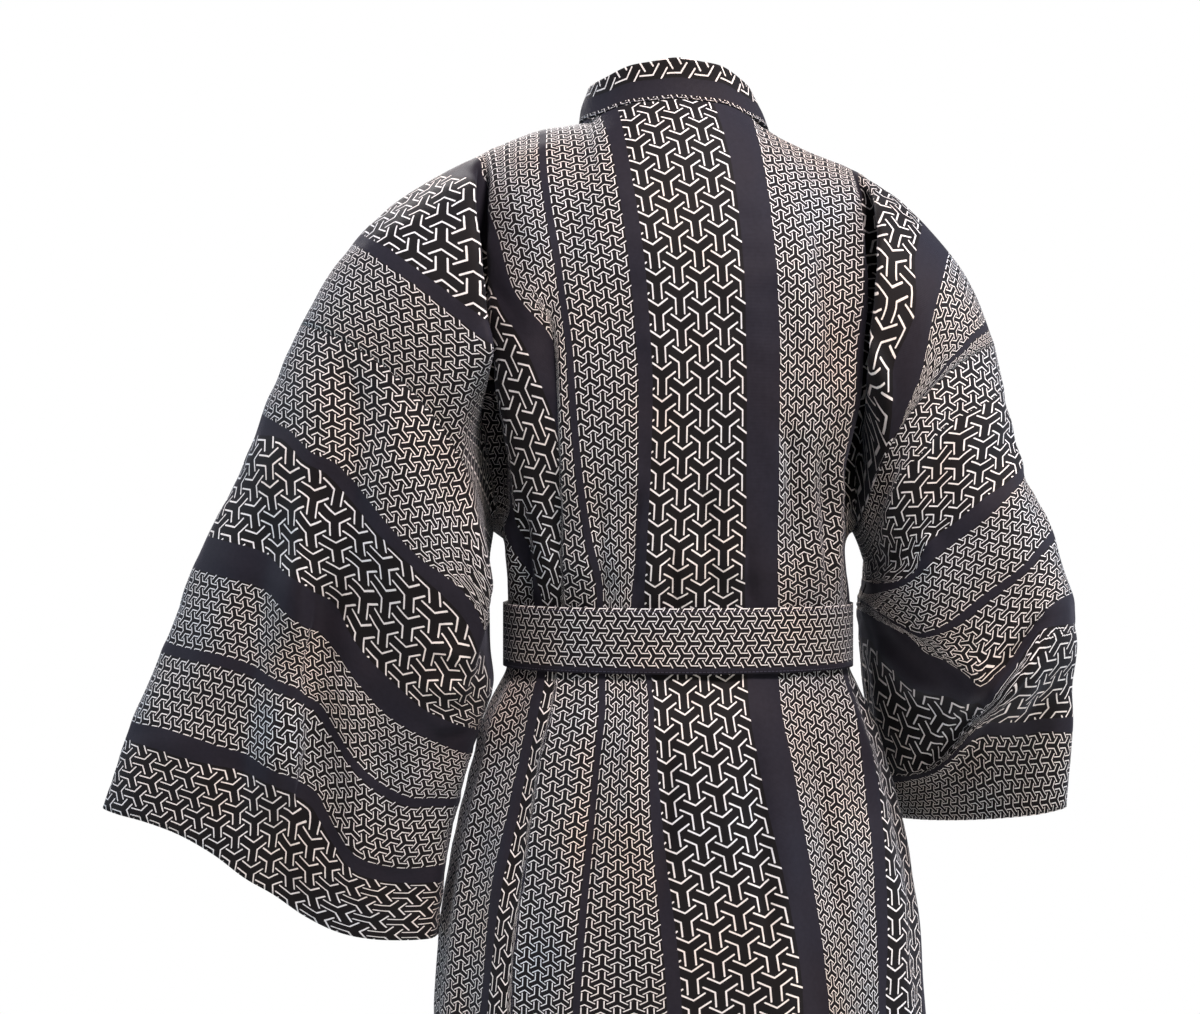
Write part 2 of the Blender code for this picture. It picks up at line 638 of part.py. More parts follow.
def make_collar(back, fronts):
    """The band sewn to the neckline and down both front edges: it stands at the neck and lies flat below."""
    rows = []
    for side in (RIGHT, LEFT):
        stretch = []
        for index, drop in enumerate(ALL_ROWS):
            seam = fronts[side][index, 0]
            edge = FRONT_EDGE.at(drop, "left" if side == LEFT else "right")
            lying = smooth_step((drop - 0.01) / 0.15)
            width = COLLAR_STAND + (COLLAR_WIDTH - COLLAR_STAND) * lying
            flat_out = edge - width
            flat = torso_point(side, "front", flat_out, drop, lap_lift(side, flat_out, drop))
            standing = seam + np.array((-side * COLLAR_LEAN[side], -0.004, width * 0.84))
            free = standing + (flat - standing) * lying
            middle = (seam + free) / 2
            bulge = np.array((side * 0.0015 * (1 - lying), -0.0025 * math.sin(HALF_TURN * lying), 0.0))
            flat_middle = torso_point(side, "front", edge - width / 2, drop, lap_lift(side, edge - width / 2, drop))
            middle = middle + bulge + (flat_middle - middle) * lying
            stretch.append((seam, middle, free))
        rows.append(stretch)
    centre = back.shape[1] // 2
    neck = []
    for c in range(centre - NECK_CELLS + 1, centre + NECK_CELLS):
        seam = back[0, c]
        out = abs(seam[0]) / NECK_HALF_WIDTH
        lean = COLLAR_LEAN[LEFT if seam[0] > 0 else RIGHT] * out * out
        free = seam + np.array((-lean * math.copysign(1, seam[0]), -0.002, COLLAR_STAND * (1.02 - 0.14 * out)))
        outward = np.array((seam[0], 0.05, 0.0))
        middle = (seam + free) / 2 - outward / np.linalg.norm(outward) * 0.0015
        neck.append((seam, middle, free))
    return np.array(rows[0][::-1] + neck + rows[1])


def make_belt():
    """The belt's stretch round the waist, over all that laps at the front."""
    rows = []
    for drop in BELT_DROPS:
        ring = []
        for step in range(BELT_CELLS):
            angle = 360 * step / BELT_CELLS
            over = smooth_step((abs((angle + 180) % 360 - 180) - 95) / 30)
            lift = BELT_LIFT_BACK + (BELT_LIFT_FRONT - BELT_LIFT_BACK) * over
            ring.append(body_point(angle, drop, lift))
        rows.append(ring)
    return np.array(rows)


def make_belt_end(side):
    """One hanging end of the belt, from under the knot down over the lapped fronts."""
    rows = []
    for step in range(BELT_END_CELLS + 1):
        share = step / BELT_END_CELLS
        drop, out, width, lift = BELT_END[side].at(share, "drop", "out", "width", "lift")
        bow = 0.0015 * math.sin(share * 7)
        row = [torso_point(LEFT, "front", out + width * off, drop, lift + bow) for off in (-0.5, -0.17, 0.17, 0.5)]
        rows.append(row)
    return np.array(rows)


def make_knot():
    """The flat knot: a soft lump of folded belt at the middle of the front, grooved where it wraps."""
    bm = bmesh.new()
    bmesh.ops.create_cube(bm, size=2.0)
    bmesh.ops.subdivide_edges(bm, edges=bm.edges, cuts=7, use_grid_fill=True)
    for vert in bm.verts:
        a, b, c = vert.co
        size = (abs(a) ** KNOT_SQUARE + abs(b) ** KNOT_SQUARE + abs(c) ** KNOT_SQUARE) ** (1 / KNOT_SQUARE)
        a, b, c = a / size, b / size, c / size
        if b < 0:
            b *= 1 - KNOT_GROOVE * math.exp(-(((a * 0.5 + c * 0.87) - 0.1) / 0.2) ** 2)
        x = a * KNOT_SIZE[0] / 2 * (1 - 0.16 * c * c)
        y = b * KNOT_SIZE[1] / 2
        z = c * KNOT_SIZE[2] / 2 * (1 - 0.14 * a * a)
        vert.co = (KNOT_PLACE[0] + x, KNOT_PLACE[1] + y, KNOT_PLACE[2] + z)
    add_piece("belt_knot", bm)


def make_cloth_pieces():
    """The sewn pieces: edges that meet at a seam share their normals and stop just short of it."""
    back, fronts, sleeves = make_body_and_sleeves()
    collar = make_collar(back, fronts)
    sheets = {
        "back": (back, -normals_of(back)),
        "front_left": (fronts[LEFT], normals_of(fronts[LEFT])),
        "front_right": (fronts[RIGHT], -normals_of(fronts[RIGHT])),
        "sleeve_left": (sleeves[LEFT], normals_of(sleeves[LEFT], True)),
        "sleeve_right": (sleeves[RIGHT], -normals_of(sleeves[RIGHT], True)),
        "collar": (collar, -normals_of(collar)),
    }
    share_seam_normals(sheets.values())
    draw_back(back[:, 0], back[:, 1].copy())
    draw_back(back[:, -1], back[:, -2].copy())
    draw_back(back[0], back[1].copy())
    draw_back(collar[:, 0], collar[:, 1].copy(), SEAM_GAP)
    for side in (LEFT, RIGHT):
        front, sleeve = fronts[side], sleeves[side]
        draw_back(front[:, 0], front[:, 1].copy())
        draw_back(front[:, -1], front[:, -2].copy())
        draw_back(front[0], front[1].copy())
        draw_back(sleeve[0], sleeve[1].copy(), SEAM_GAP * 1.6)
    for name, (grid, normals) in sheets.items():
        thickness = BAND if name == "collar" else CLOTH
        cloth_wall(name, grid, normals, thickness, name.startswith("sleeve"))


def make_belt_pieces():
    """The belt round the waist with its two hanging ends and its knot."""
    belt = make_belt()
    cloth_wall("belt", belt, normals_of(belt, True), BAND, True)
    for side, name in ((LEFT, "belt_end_left"), (RIGHT, "belt_end_right")):
        end = make_belt_end(side)
        cloth_wall(name, end, normals_of(end), BAND)
    make_knot()


clear_scene()
coat = bpy.data.collections.new("happi_coat")
bpy.context.scene.collection.children.link(coat)
make_cloth_pieces()
make_belt_pieces()
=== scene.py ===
"""A belted happi coat of cotton, printed with stripes of interlocking three-armed figures."""

import math

import bpy
import numpy as np
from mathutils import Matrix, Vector


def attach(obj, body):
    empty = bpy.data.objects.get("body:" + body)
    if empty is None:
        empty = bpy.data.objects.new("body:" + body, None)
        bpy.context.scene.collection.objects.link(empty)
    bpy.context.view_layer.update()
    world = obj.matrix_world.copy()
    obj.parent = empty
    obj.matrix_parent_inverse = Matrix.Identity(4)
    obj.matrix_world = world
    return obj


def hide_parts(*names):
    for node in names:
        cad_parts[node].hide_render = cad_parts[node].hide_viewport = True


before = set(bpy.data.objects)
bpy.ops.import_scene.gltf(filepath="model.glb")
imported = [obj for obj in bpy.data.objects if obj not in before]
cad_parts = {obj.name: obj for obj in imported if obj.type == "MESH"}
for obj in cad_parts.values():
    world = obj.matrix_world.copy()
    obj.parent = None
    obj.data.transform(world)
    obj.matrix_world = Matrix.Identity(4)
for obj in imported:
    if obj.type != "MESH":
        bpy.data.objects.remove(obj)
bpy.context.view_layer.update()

# The back is one width of printed cotton from the shoulders to the hem. It is laid through the same rings of
# the coat as its solid, between the two sleeve seams and the side seams, with a deep fold where each arm
# hangs beside the body, a knife pleat left of the middle and soft gathers at the belt.
LEFT, RIGHT = 1, -1
SIDE_NAME = {LEFT: "left", RIGHT: "right"}
HALF_TURN = math.pi
CLOTH = 0.0010
NECK_HALF_WIDTH = 0.0775
NECK_SCOOP = 0.070
NECK_RISE = 0.042
ARMHOLE = 0.38
SLEEVE_LENGTH = 0.44
COAT_DROP = 0.965
RISE_FADES = 0.45
SCOOP_FADES = 0.28
NECK_SHARE = 0.52
FRONT_FOLD_SHARE = 0.55
NECK_CELLS = 4
SHOULDER_CELLS = 6
ARM_CELLS = 10
BOTTOM_CELLS = (2, 3)
RIDGE_CELL = 5
UNDERARM_Y = -0.015
ARMHOLE_ROWS = (0.0, 0.018, 0.042, 0.072, 0.105, 0.14, 0.175, 0.21, 0.245, 0.28, 0.305, 0.33, 0.355, ARMHOLE)
SKIRT_ROWS = (
    0.400, 0.420, 0.434, 0.447, 0.475, 0.503, 0.518, 0.54, 0.575, 0.62, 0.68, 0.75, 0.82, 0.89, COAT_DROP,
)
ALL_ROWS = ARMHOLE_ROWS + SKIRT_ROWS


class Table:
    """Rows of sizes with named columns; any column is read between its rows on a smooth monotone curve."""

    def __init__(self, names, *rows):
        self.names = names.split()
        self.rows = np.array(rows, float)

    def at(self, place, *names):
        values = [self._read(place, self.names.index(name)) for name in names]
        return values[0] if len(names) == 1 else values

    def row(self, place):
        """Every column's value at a place, by its name."""
        return dict(zip(self.names, self.at(place, *self.names)))

    def _read(self, place, column):
        keys = self.rows[:, 0]
        values = self.rows[:, column]
        place = np.clip(place, keys[0], keys[-1])
        i = int(np.clip(np.searchsorted(keys, place) - 1, 0, len(keys) - 2))
        width = keys[i + 1] - keys[i]
        slopes = np.diff(values) / np.diff(keys)
        start = self._slope(slopes, i)
        end = self._slope(slopes, i + 1)
        t = (place - keys[i]) / width
        return (
            values[i] * (1 + 2 * t) * (1 - t) ** 2
            + values[i + 1] * t * t * (3 - 2 * t)
            + width * start * t * (1 - t) ** 2
            - width * end * t * t * (1 - t)
        )

    @staticmethod
    def _slope(slopes, i):
        if i == 0:
            return slopes[0]
        if i == len(slopes):
            return slopes[-1]
        before, after = slopes[i - 1], slopes[i]
        if before * after <= 0:
            return 0.0
        return 2 * before * after / (before + after)


# The ring of the body at each drop down the cloth from the shoulder line: its height, half width, depth of
# back and front, how square it is, how far it shifts to the side, and the angles from the back's middle to
# the side seam and to the fold line beside the arm.
BODY = Table(
    "drop height half back front square shift seam_angle fold_angle",
    (0.000, 0.000, 0.165, 0.000, 0.000, 3.6, 0.0, 95, 62),
    (0.020, -0.004, 0.165, 0.019, 0.019, 3.6, 0.0, 95, 62),
    (0.045, -0.015, 0.165, 0.040, 0.040, 3.6, 0.0, 95, 62),
    (0.075, -0.034, 0.165, 0.063, 0.058, 3.6, 0.0, 95, 62),
    (0.105, -0.058, 0.165, 0.082, 0.072, 3.6, 0.0, 95, 62),
    (0.140, -0.089, 0.165, 0.098, 0.085, 3.6, 0.0, 95, 62),
    (0.210, -0.156, 0.165, 0.114, 0.100, 3.6, 0.0, 95, 62),
    (0.280, -0.225, 0.160, 0.116, 0.106, 3.4, 0.0, 95, 62),
    (0.330, -0.278, 0.150, 0.113, 0.107, 3.0, 0.0, 96, 62),
    (0.380, -0.328, 0.1400, 0.109, 0.106, 2.5, 0.0, 97, 61),
    (0.420, -0.366, 0.1390, 0.107, 0.103, 2.3, -0.0015, 108, 60),
    (0.446, -0.391, 0.1395, 0.100, 0.097, 2.2, -0.003, 118, 58),
    (0.504, -0.448, 0.1395, 0.100, 0.097, 2.2, -0.003, 120, 57),
    (0.530, -0.474, 0.1500, 0.110, 0.104, 2.2, -0.003, 119, 56),
    (0.580, -0.522, 0.1640, 0.122, 0.112, 2.2, -0.004, 116, 55),
    (0.680, -0.620, 0.1850, 0.135, 0.122, 2.2, -0.004, 112, 54),
    (0.800, -0.738, 0.1940, 0.141, 0.127, 2.2, -0.004, 110, 53),
    (COAT_DROP, -0.900, 0.1990, 0.145, 0.130, 2.2, -0.004, 108, 53),
)

# Height of the shoulder line at each distance out from the middle.
SHOULDER = Table(
    "out left right",
    (0.0, NECK_RISE, NECK_RISE),
    (0.030, 0.036, 0.036),
    (0.060, 0.016, 0.014),
    (NECK_HALF_WIDTH, 0.0, -0.006),
    (0.106, -0.004, -0.021),
    (0.152, -0.021, -0.040),
    (0.193, -0.036, -0.076),
    (0.226, -0.054, -0.118),
)

# The deep fold between body and arm, on the back and on the front: how far out its ridge stands, how far
# back (or forward) the ridge lies, and how deep the fold is.
ARM_FOLD = {
    (LEFT, "back"): Table(
        "drop out ridge depth",
        (0.00, 0.152, 0.000, 0.000),
        (0.02, 0.152, 0.022, 0.002),
        (0.05, 0.150, 0.045, 0.004),
        (0.10, 0.149, 0.086, 0.025),
        (0.16, 0.148, 0.110, 0.055),
        (0.22, 0.144, 0.114, 0.072),
        (0.28, 0.136, 0.114, 0.080),
        (0.33, 0.128, 0.108, 0.068),
        (ARMHOLE, 0.124, 0.098, 0.060),
    ),
    (RIGHT, "back"): Table(
        "drop out ridge depth",
        (0.00, 0.140, 0.000, 0.000),
        (0.02, 0.140, 0.022, 0.002),
        (0.05, 0.143, 0.045, 0.004),
        (0.10, 0.147, 0.086, 0.024),
        (0.16, 0.148, 0.108, 0.052),
        (0.22, 0.144, 0.110, 0.070),
        (0.28, 0.139, 0.108, 0.078),
        (0.33, 0.129, 0.103, 0.060),
        (ARMHOLE, 0.124, 0.096, 0.050),
    ),
    (LEFT, "front"): Table(
        "drop out ridge depth",
        (0.00, 0.152, 0.000, 0.000),
        (0.02, 0.152, 0.022, 0.002),
        (0.05, 0.148, 0.043, 0.005),
        (0.10, 0.145, 0.076, 0.023),
        (0.16, 0.144, 0.094, 0.044),
        (0.22, 0.142, 0.098, 0.060),
        (0.28, 0.137, 0.098, 0.058),
        (0.33, 0.130, 0.092, 0.044),
        (ARMHOLE, 0.124, 0.084, 0.038),
    ),
    (RIGHT, "front"): Table(
        "drop out ridge depth",
        (0.00, 0.140, 0.000, 0.000),
        (0.02, 0.141, 0.022, 0.002),
        (0.05, 0.143, 0.043, 0.005),
        (0.10, 0.146, 0.076, 0.023),
        (0.16, 0.146, 0.096, 0.044),
        (0.22, 0.144, 0.100, 0.060),
        (0.28, 0.138, 0.100, 0.058),
        (0.33, 0.131, 0.094, 0.044),
        (ARMHOLE, 0.124, 0.086, 0.038),
    ),
}
FOLD_OPENS = 0.12
BOTTOM_OUT, BOTTOM_DOWN = 0.005, 0.004
VALLEY = 0.010
UNDERARM_ROOM = 0.007
SEAM_BEHIND = 0.003
SEAM_PASSES_RIDGE = 0.279
MOUTH_LEAST, MOUTH_MORE, MOUTH_CLOSES = 0.0015, 0.012, 0.17
MOUTH_SLOPE = 0.6
WALL_OUT, WALL_SHARE = 0.014, 0.45
LEAST_WALL, LEAST_BOTTOM = 0.012, 0.005
ARM_ARCH, ARM_SWELL = 0.43, 0.14
SPAN_STEPS = 24
SOFTEN_ROUNDS = 14

# Each sleeve's ring at a distance along the sleeve: its top and low points, how far it stands back and
# front of the line between them, how narrow it ends below, how that line sags and swings, and how far the low
# back hooks in behind the body. The left sleeve also has a soft fold's step and the right one a pointed dip.
SLEEVE = {
    LEFT: Table(
        "along top_out top_y top_z low_out low_y low_z back front low_end sag swing fold fold_at hook",
        (0, 0.304, 0, -0.169, 0.150, UNDERARM_Y, -0.335, 0.112, 0.090, 1.1, -0.033, 0, 0, 0.2, 0),
        (0.045, 0.322, 0, -0.208, 0.156, -0.006, -0.366,
         0.112, 0.092, 0.9, -0.030, 0.003, 0.002, 0.2, 0.020),
        (0.09, 0.338, 0, -0.250, 0.157, 0.002, -0.396,
         0.108, 0.092, 0.7, -0.014, 0.006, 0.006, 0.22, 0.038),
        (0.14, 0.358, 0, -0.296, 0.162, 0.006, -0.446,
         0.096, 0.086, 0.62, -0.006, 0.012, 0.01, 0.28, 0.034),
        (0.20, 0.384, 0.004, -0.345, 0.171, 0.010, -0.500,
         0.080, 0.078, 0.62, 0, 0.018, 0.014, 0.35, 0.016),
        (0.283, 0.417, 0.006, -0.426, 0.184, 0.012, -0.556,
         0.068, 0.070, 0.62, 0.004, 0.021, 0.015, 0.44, 0),
        (0.356, 0.446, 0.008, -0.500, 0.194, 0.012, -0.611,
         0.060, 0.062, 0.62, 0.005, 0.020, 0.015, 0.50, 0),
        (SLEEVE_LENGTH, 0.466, 0.010, -0.560, 0.199, 0.012, -0.662,
         0.052, 0.056, 0.62, 0.006, 0.014, 0.015, 0.50, 0),
    ),
    RIGHT: Table(
        "along top_out top_y top_z low_out low_y low_z back front low_end sag swing dip dip_at hook",
        (0, 0.258, 0, -0.184, 0.150, UNDERARM_Y, -0.335, 0.112, 0.090, 1.0, -0.030, 0, 0, 0.42, 0),
        (0.03, 0.264, 0.006, -0.222, 0.161, -0.014, -0.360, 0.112, 0.094, 1.0, -0.022, 0, 0, 0.42, 0),
        (0.12, 0.277, 0.026, -0.290, 0.160, -0.006, -0.380,
         0.104, 0.100, 0.62, 0.002, 0, 0.006, 0.45, 0.006),
        (0.195, 0.295, 0.040, -0.334, 0.157, -0.012, -0.392,
         0.104, 0.106, 0.62, 0.014, 0, 0.022, 0.45, 0.008),
        (0.265, 0.311, 0.046, -0.393, 0.158, -0.024, -0.402,
         0.104, 0.106, 0.62, 0.014, 0, 0.056, 0.42, 0.006),
        (0.295, 0.315, 0.044, -0.424, 0.161, -0.036, -0.428, 0.086, 0.102, 0.62, 0.012, 0, 0.046, 0.42, 0),
        (0.32, 0.316, 0.040, -0.449, 0.166, -0.050, -0.464, 0.066, 0.100, 0.62, 0.010, 0, 0.030, 0.45, 0),
        (0.365, 0.317, 0.032, -0.490, 0.175, -0.074, -0.522, 0.060, 0.094, 0.62, 0.006, 0, 0.008, 0.50, 0),
        (SLEEVE_LENGTH, 0.316, 0.020, -0.556, 0.189, -0.098, -0.582,
         0.054, 0.088, 0.62, 0.002, 0, 0, 0.50, 0),
    ),
}
STRAIGHT = {"dip": 0.0, "dip_at": 0.5, "fold": 0.0, "fold_at": 0.5}
RING_STEPS = 240
ROUND_TOP = 0.62
LOW_END_GROWS = (1.6, 0.5)
DIP_POINT = 1.15
FOLD_STEP = 0.06
FOLD_TAIL = 0.3
HOOK_AT = 0.84
HOOK_WIDE = 0.11

# The body's soft folds above and below the belt: the angle round from the back's middle, the width, and the
# height of each fold above the belt, under it and at the hem.
BODY_FOLDS = Table(
    "angle width above below hem",
    (-152, 9, 0.004, 0.006, 0.008),
    (-120, 8, 0.005, 0.006, 0.010),
    (-88, 8, 0.000, 0.006, 0.009),
    (-62, 7, 0.005, 0.006, 0.010),
    (-42, 6, 0.004, 0.004, 0.003),
    (-20, 6, 0.003, 0.004, 0.006),
    (8, 6, 0.003, 0.003, 0.001),
    (27, 6, 0.004, 0.006, 0.008),
    (48, 6, 0.005, 0.006, 0.004),
    (68, 7, 0.005, 0.007, 0.010),
    (94, 8, 0.000, 0.006, 0.009),
    (124, 8, 0.005, 0.006, 0.010),
    (156, 9, 0.004, 0.006, 0.007),
)

# How strongly those folds show at each drop.
FOLD_SHARE = Table(
    "drop above below hem",
    (0.00, 0.0, 0.0, 0.0),
    (0.27, 0.0, 0.0, 0.0),
    (0.33, 0.3, 0.0, 0.0),
    (0.41, 1.0, 0.0, 0.0),
    (0.435, 0.6, 0.0, 0.0),
    (0.447, 0.1, 0.1, 0.0),
    (0.503, 0.1, 0.1, 0.0),
    (0.515, 0.0, 0.5, 0.0),
    (0.55, 0.0, 1.0, 0.0),
    (0.70, 0.0, 0.7, 0.4),
    (COAT_DROP, 0.0, 0.2, 1.0),
)


def smooth_step(value):
    """Nothing below zero, one above one and an even rise between them, for a number or an array."""
    value = np.clip(value, 0.0, 1.0)
    return value * value * (3 - 2 * value)


def signed_power(value, power):
    return math.copysign(abs(value) ** power, value)


def fold_height(angle, drop):
    """How far the folds lift the body's cloth at an angle round the body."""
    above, below, hem = FOLD_SHARE.at(drop, "above", "below", "hem")
    total = 0.0
    for place, width, high_above, high_below, high_hem in BODY_FOLDS.rows:
        off = (angle - place) / width
        bump = math.exp(-off * off)
        total += bump * (above * high_above + below * high_below + hem * high_hem)
    return total


def body_point(angle, drop, lift=0.0):
    """A point of the body's ring; the angle is in degrees from the back's middle towards the left."""
    height, half, back, front = BODY.at(drop, "height", "half", "back", "front")
    square, shift = BODY.at(drop, "square", "shift")
    turn = math.radians(angle)
    depth = back if math.cos(turn) > 0 else front
    out = lift + fold_height(angle, drop)
    x = (half + out) * signed_power(math.sin(turn), 2 / square)
    y = (depth + out) * signed_power(math.cos(turn), 2 / square)
    return np.array((x + shift, y, height))


def shoulder_rise(side, out, drop):
    """How far the shoulder line lifts a point over its drop; it fades out towards the belt."""
    line = SHOULDER.at(abs(out), SIDE_NAME[side])
    return line * (1 - smooth_step(drop / RISE_FADES))


def torso_point(side, face, out, drop, lift=0.0):
    """A point between the two arm folds, at a distance out from the middle."""
    height, half, depth, square, shift = BODY.at(drop, "height", "half", face, "square", "shift")
    across = min(abs(out) / half, 0.999)
    angle = math.degrees(math.asin(across ** (square / 2)))
    if face == "front":
        angle = 180 - angle
    swell = fold_height(side * math.copysign(angle, out), drop) + lift
    y = depth * (1 - across ** square) ** (1 / square) + swell
    y = y if face == "back" else -y
    return np.array((side * out + shift, y, height + shoulder_rise(side, out, drop)))


def sleeve_ring(side, along):
    """A sleeve's closed ring of points: down its back from the top to the low point, then up in front."""
    row = {**STRAIGHT, **SLEEVE[side].row(along)}
    top = np.array((side * row["top_out"], row["top_y"], row["top_z"]))
    low = np.array((side * row["low_out"], row["low_y"], row["low_z"]))
    line = low - top
    across = np.array((line[2], 0.0, -line[0])) / math.hypot(line[0], line[2]) * side
    points = []
    for step in range(RING_STEPS):
        turn = 2 * HALF_TURN * step / RING_STEPS
        share = (1 - math.cos(turn)) / 2
        lower = smooth_step(share * LOW_END_GROWS[0] - LOW_END_GROWS[1])
        round_off = abs(math.sin(turn)) ** (ROUND_TOP + (row["low_end"] - ROUND_TOP) * lower)
        drift = row["swing"] * math.sin(2 * HALF_TURN * share) - row["sag"] * math.sin(turn) ** 2
        beside = abs(share - row["dip_at"]) / (row["dip_at"] if share < row["dip_at"] else 1 - row["dip_at"])
        on_back = turn < HALF_TURN
        if on_back:
            drift -= row["dip"] * (1 - beside) ** DIP_POINT
        depth = row["back"] * round_off if on_back else -row["front"] * round_off
        past = share - row["fold_at"]
        if on_back and past > 0:
            tail = 1 - smooth_step((past - FOLD_STEP) / FOLD_TAIL)
            depth -= row["fold"] * smooth_step(past / FOLD_STEP) * tail
        point = top + line * share + across * drift
        point[1] += depth
        if on_back:
            point[0] -= side * row["hook"] * math.exp(-((share - HOOK_AT) / HOOK_WIDE) ** 2)
        points.append(point)
    return np.array(points)


def lengths_along(points, least=0.0):
    """The length from the first point of a line, or of each row of a grid, to every point on it."""
    steps = np.linalg.norm(np.diff(points, axis=-2), axis=-1) + least
    start = np.zeros((*steps.shape[:-1], 1))
    return np.concatenate((start, np.cumsum(steps, axis=-1)), axis=-1)


def spread(points, shares):
    """Points at the given shares of a line's length."""
    along = lengths_along(points)
    wanted = np.asarray(shares) * along[-1]
    return np.stack([np.interp(wanted, along, points[:, axis]) for axis in range(3)], axis=1)


def half_ring(side, along, face):
    """A sleeve ring's back or front half at the armhole's rows, from the top to the low point."""
    ring = sleeve_ring(side, along)
    half = len(ring) // 2
    if face == "back":
        points = ring[: half + 1]
    else:
        points = np.concatenate((ring[half:], ring[:1]))[::-1]
    return spread(points, np.array(ARMHOLE_ROWS) / ARMHOLE)


def soften(points):
    """Rounds a line's corners and keeps its two ends."""
    for _ in range(SOFTEN_ROUNDS):
        middle = (points[:-2] + 2 * points[1:-1] + points[2:]) / 4
        points = np.concatenate((points[:1], middle, points[-1:]))
    return points


def arm_row(side, face, drop, seam_point):
    """A panel's row from the arm fold, down into it, out again and over the arm to the sleeve seam."""
    out, ridge, depth = ARM_FOLD[(side, face)].at(drop, "out", "ridge", "depth")
    start = torso_point(side, face, out, drop)
    sign = 1 if face == "back" else -1
    open_up = smooth_step(drop / FOLD_OPENS)
    bottom = start + np.array((side * BOTTOM_OUT, 0.0, -BOTTOM_DOWN)) * open_up
    bottom[1] -= sign * depth
    past_ridge = drop > SEAM_PASSES_RIDGE
    if past_ridge:
        bottom[0] = side * max(out + BOTTOM_OUT, abs(seam_point[0]) - WALL_OUT)
        deepest = sign * UNDERARM_Y + UNDERARM_ROOM
        bottom[1] = sign * max(min(sign * bottom[1], sign * seam_point[1] - SEAM_BEHIND), deepest)
    outer_bottom = bottom + np.array((side * VALLEY * open_up, 0.0, 0.0))
    mouth = MOUTH_LEAST + MOUTH_MORE * (1 - smooth_step(drop / MOUTH_CLOSES))
    wall = start + np.array((side * (mouth + (WALL_OUT - mouth) * open_up), 0.0, -mouth * MOUTH_SLOPE))
    wall[1] = sign * (ridge - depth * WALL_SHARE)
    edge = np.array((side * (out + mouth), sign * ridge, start[2] - mouth * MOUTH_SLOPE))
    if past_ridge:
        keys = [start, bottom, outer_bottom, seam_point]
    else:
        keys = [start, bottom, outer_bottom, wall, edge, seam_point]
    points = [start]
    for first, last in zip(keys[:-1], keys[1:]):
        span = last - first
        length = np.linalg.norm(span)
        outward = np.array((-span[2] * side, 0.0, span[0] * side))
        outward /= max(np.linalg.norm(outward), 1e-9)
        for step in range(1, SPAN_STEPS + 1):
            share = step / SPAN_STEPS
            point = first + span * share
            if last is seam_point and not past_ridge:
                point = point + outward * length * ARM_ARCH * share * (1 - share)
                point[1] += sign * ARM_SWELL * length * share * (1 - share) * open_up
            points.append(point)
    return spread(soften(np.array(points)), row_shares(keys))


def row_shares(keys):
    """Where the cells of an arm row lie: the fold's bottom and its ridge stay on the same cells."""
    lengths = np.linalg.norm(np.diff(np.array(keys), axis=0), axis=1)
    cells = [0, *BOTTOM_CELLS, ARM_CELLS]
    first = max(lengths[0], LEAST_WALL)
    second = first + max(lengths[1], LEAST_BOTTOM)
    along = [0, first, second, sum(lengths)]
    if len(keys) == 6:
        cells.insert(3, RIDGE_CELL)
        along.insert(3, second + max(sum(lengths[2:4]), LEAST_WALL))
    return np.interp(np.arange(ARM_CELLS + 1), cells, np.array(along) / along[-1])


def outer_row(side, face, index, seam_edge):
    """The part of a body panel's row beyond the fold line. The armhole's last row follows the body round to
    its side, bent only to meet the sleeve seam's low point, and the row above it lies halfway."""
    drop = ALL_ROWS[index]
    last = len(ARMHOLE_ROWS) - 1
    if index < last - 1:
        return arm_row(side, face, drop, seam_edge[index])
    row = side_row(side, face, drop)
    if index <= last:
        miss = seam_edge[index] - row[-1]
        row = row + np.linspace(0, 1, len(row))[:, None] ** 2 * miss
    if index == last - 1:
        row = (row + arm_row(side, face, drop, seam_edge[index])) / 2
    return row


def side_row(side, face, drop):
    """The row of a body panel from the fold line round the body to the side seam, below the armhole."""
    seam, fold = BODY.at(drop, "seam_angle", "fold_angle")
    start = fold if face == "back" else 180 - (180 - seam) * FRONT_FOLD_SHARE
    angles = np.linspace(start, seam, ARM_CELLS + 1)
    return np.array([body_point(side * angle, drop) for angle in angles])


def back_half_row(side, index, drop, seam_edge):
    """Half a row of the back, from the middle out to the sleeve seam or the side seam."""
    arm = outer_row(side, "back", index, seam_edge)
    fold_out = abs(arm[0][0] - BODY.at(drop, "shift"))
    narrowed = min(1.0, fold_out * NECK_SHARE / NECK_HALF_WIDTH) if drop > ARMHOLE else 1.0
    near = NECK_HALF_WIDTH * narrowed
    row = []
    for step in range(NECK_CELLS + SHOULDER_CELLS):
        if step < NECK_CELLS:
            out = NECK_HALF_WIDTH * step / NECK_CELLS * narrowed
            scoop = NECK_SCOOP * math.sqrt(1 - (step / NECK_CELLS) ** 2)
        else:
            out = near + (fold_out - near) * (step - NECK_CELLS) / SHOULDER_CELLS
            scoop = 0.0
        down = drop + scoop * max(0.0, 1 - drop / SCOOP_FADES)
        row.append(torso_point(side, "back", out, down))
    return np.array(row + list(arm))


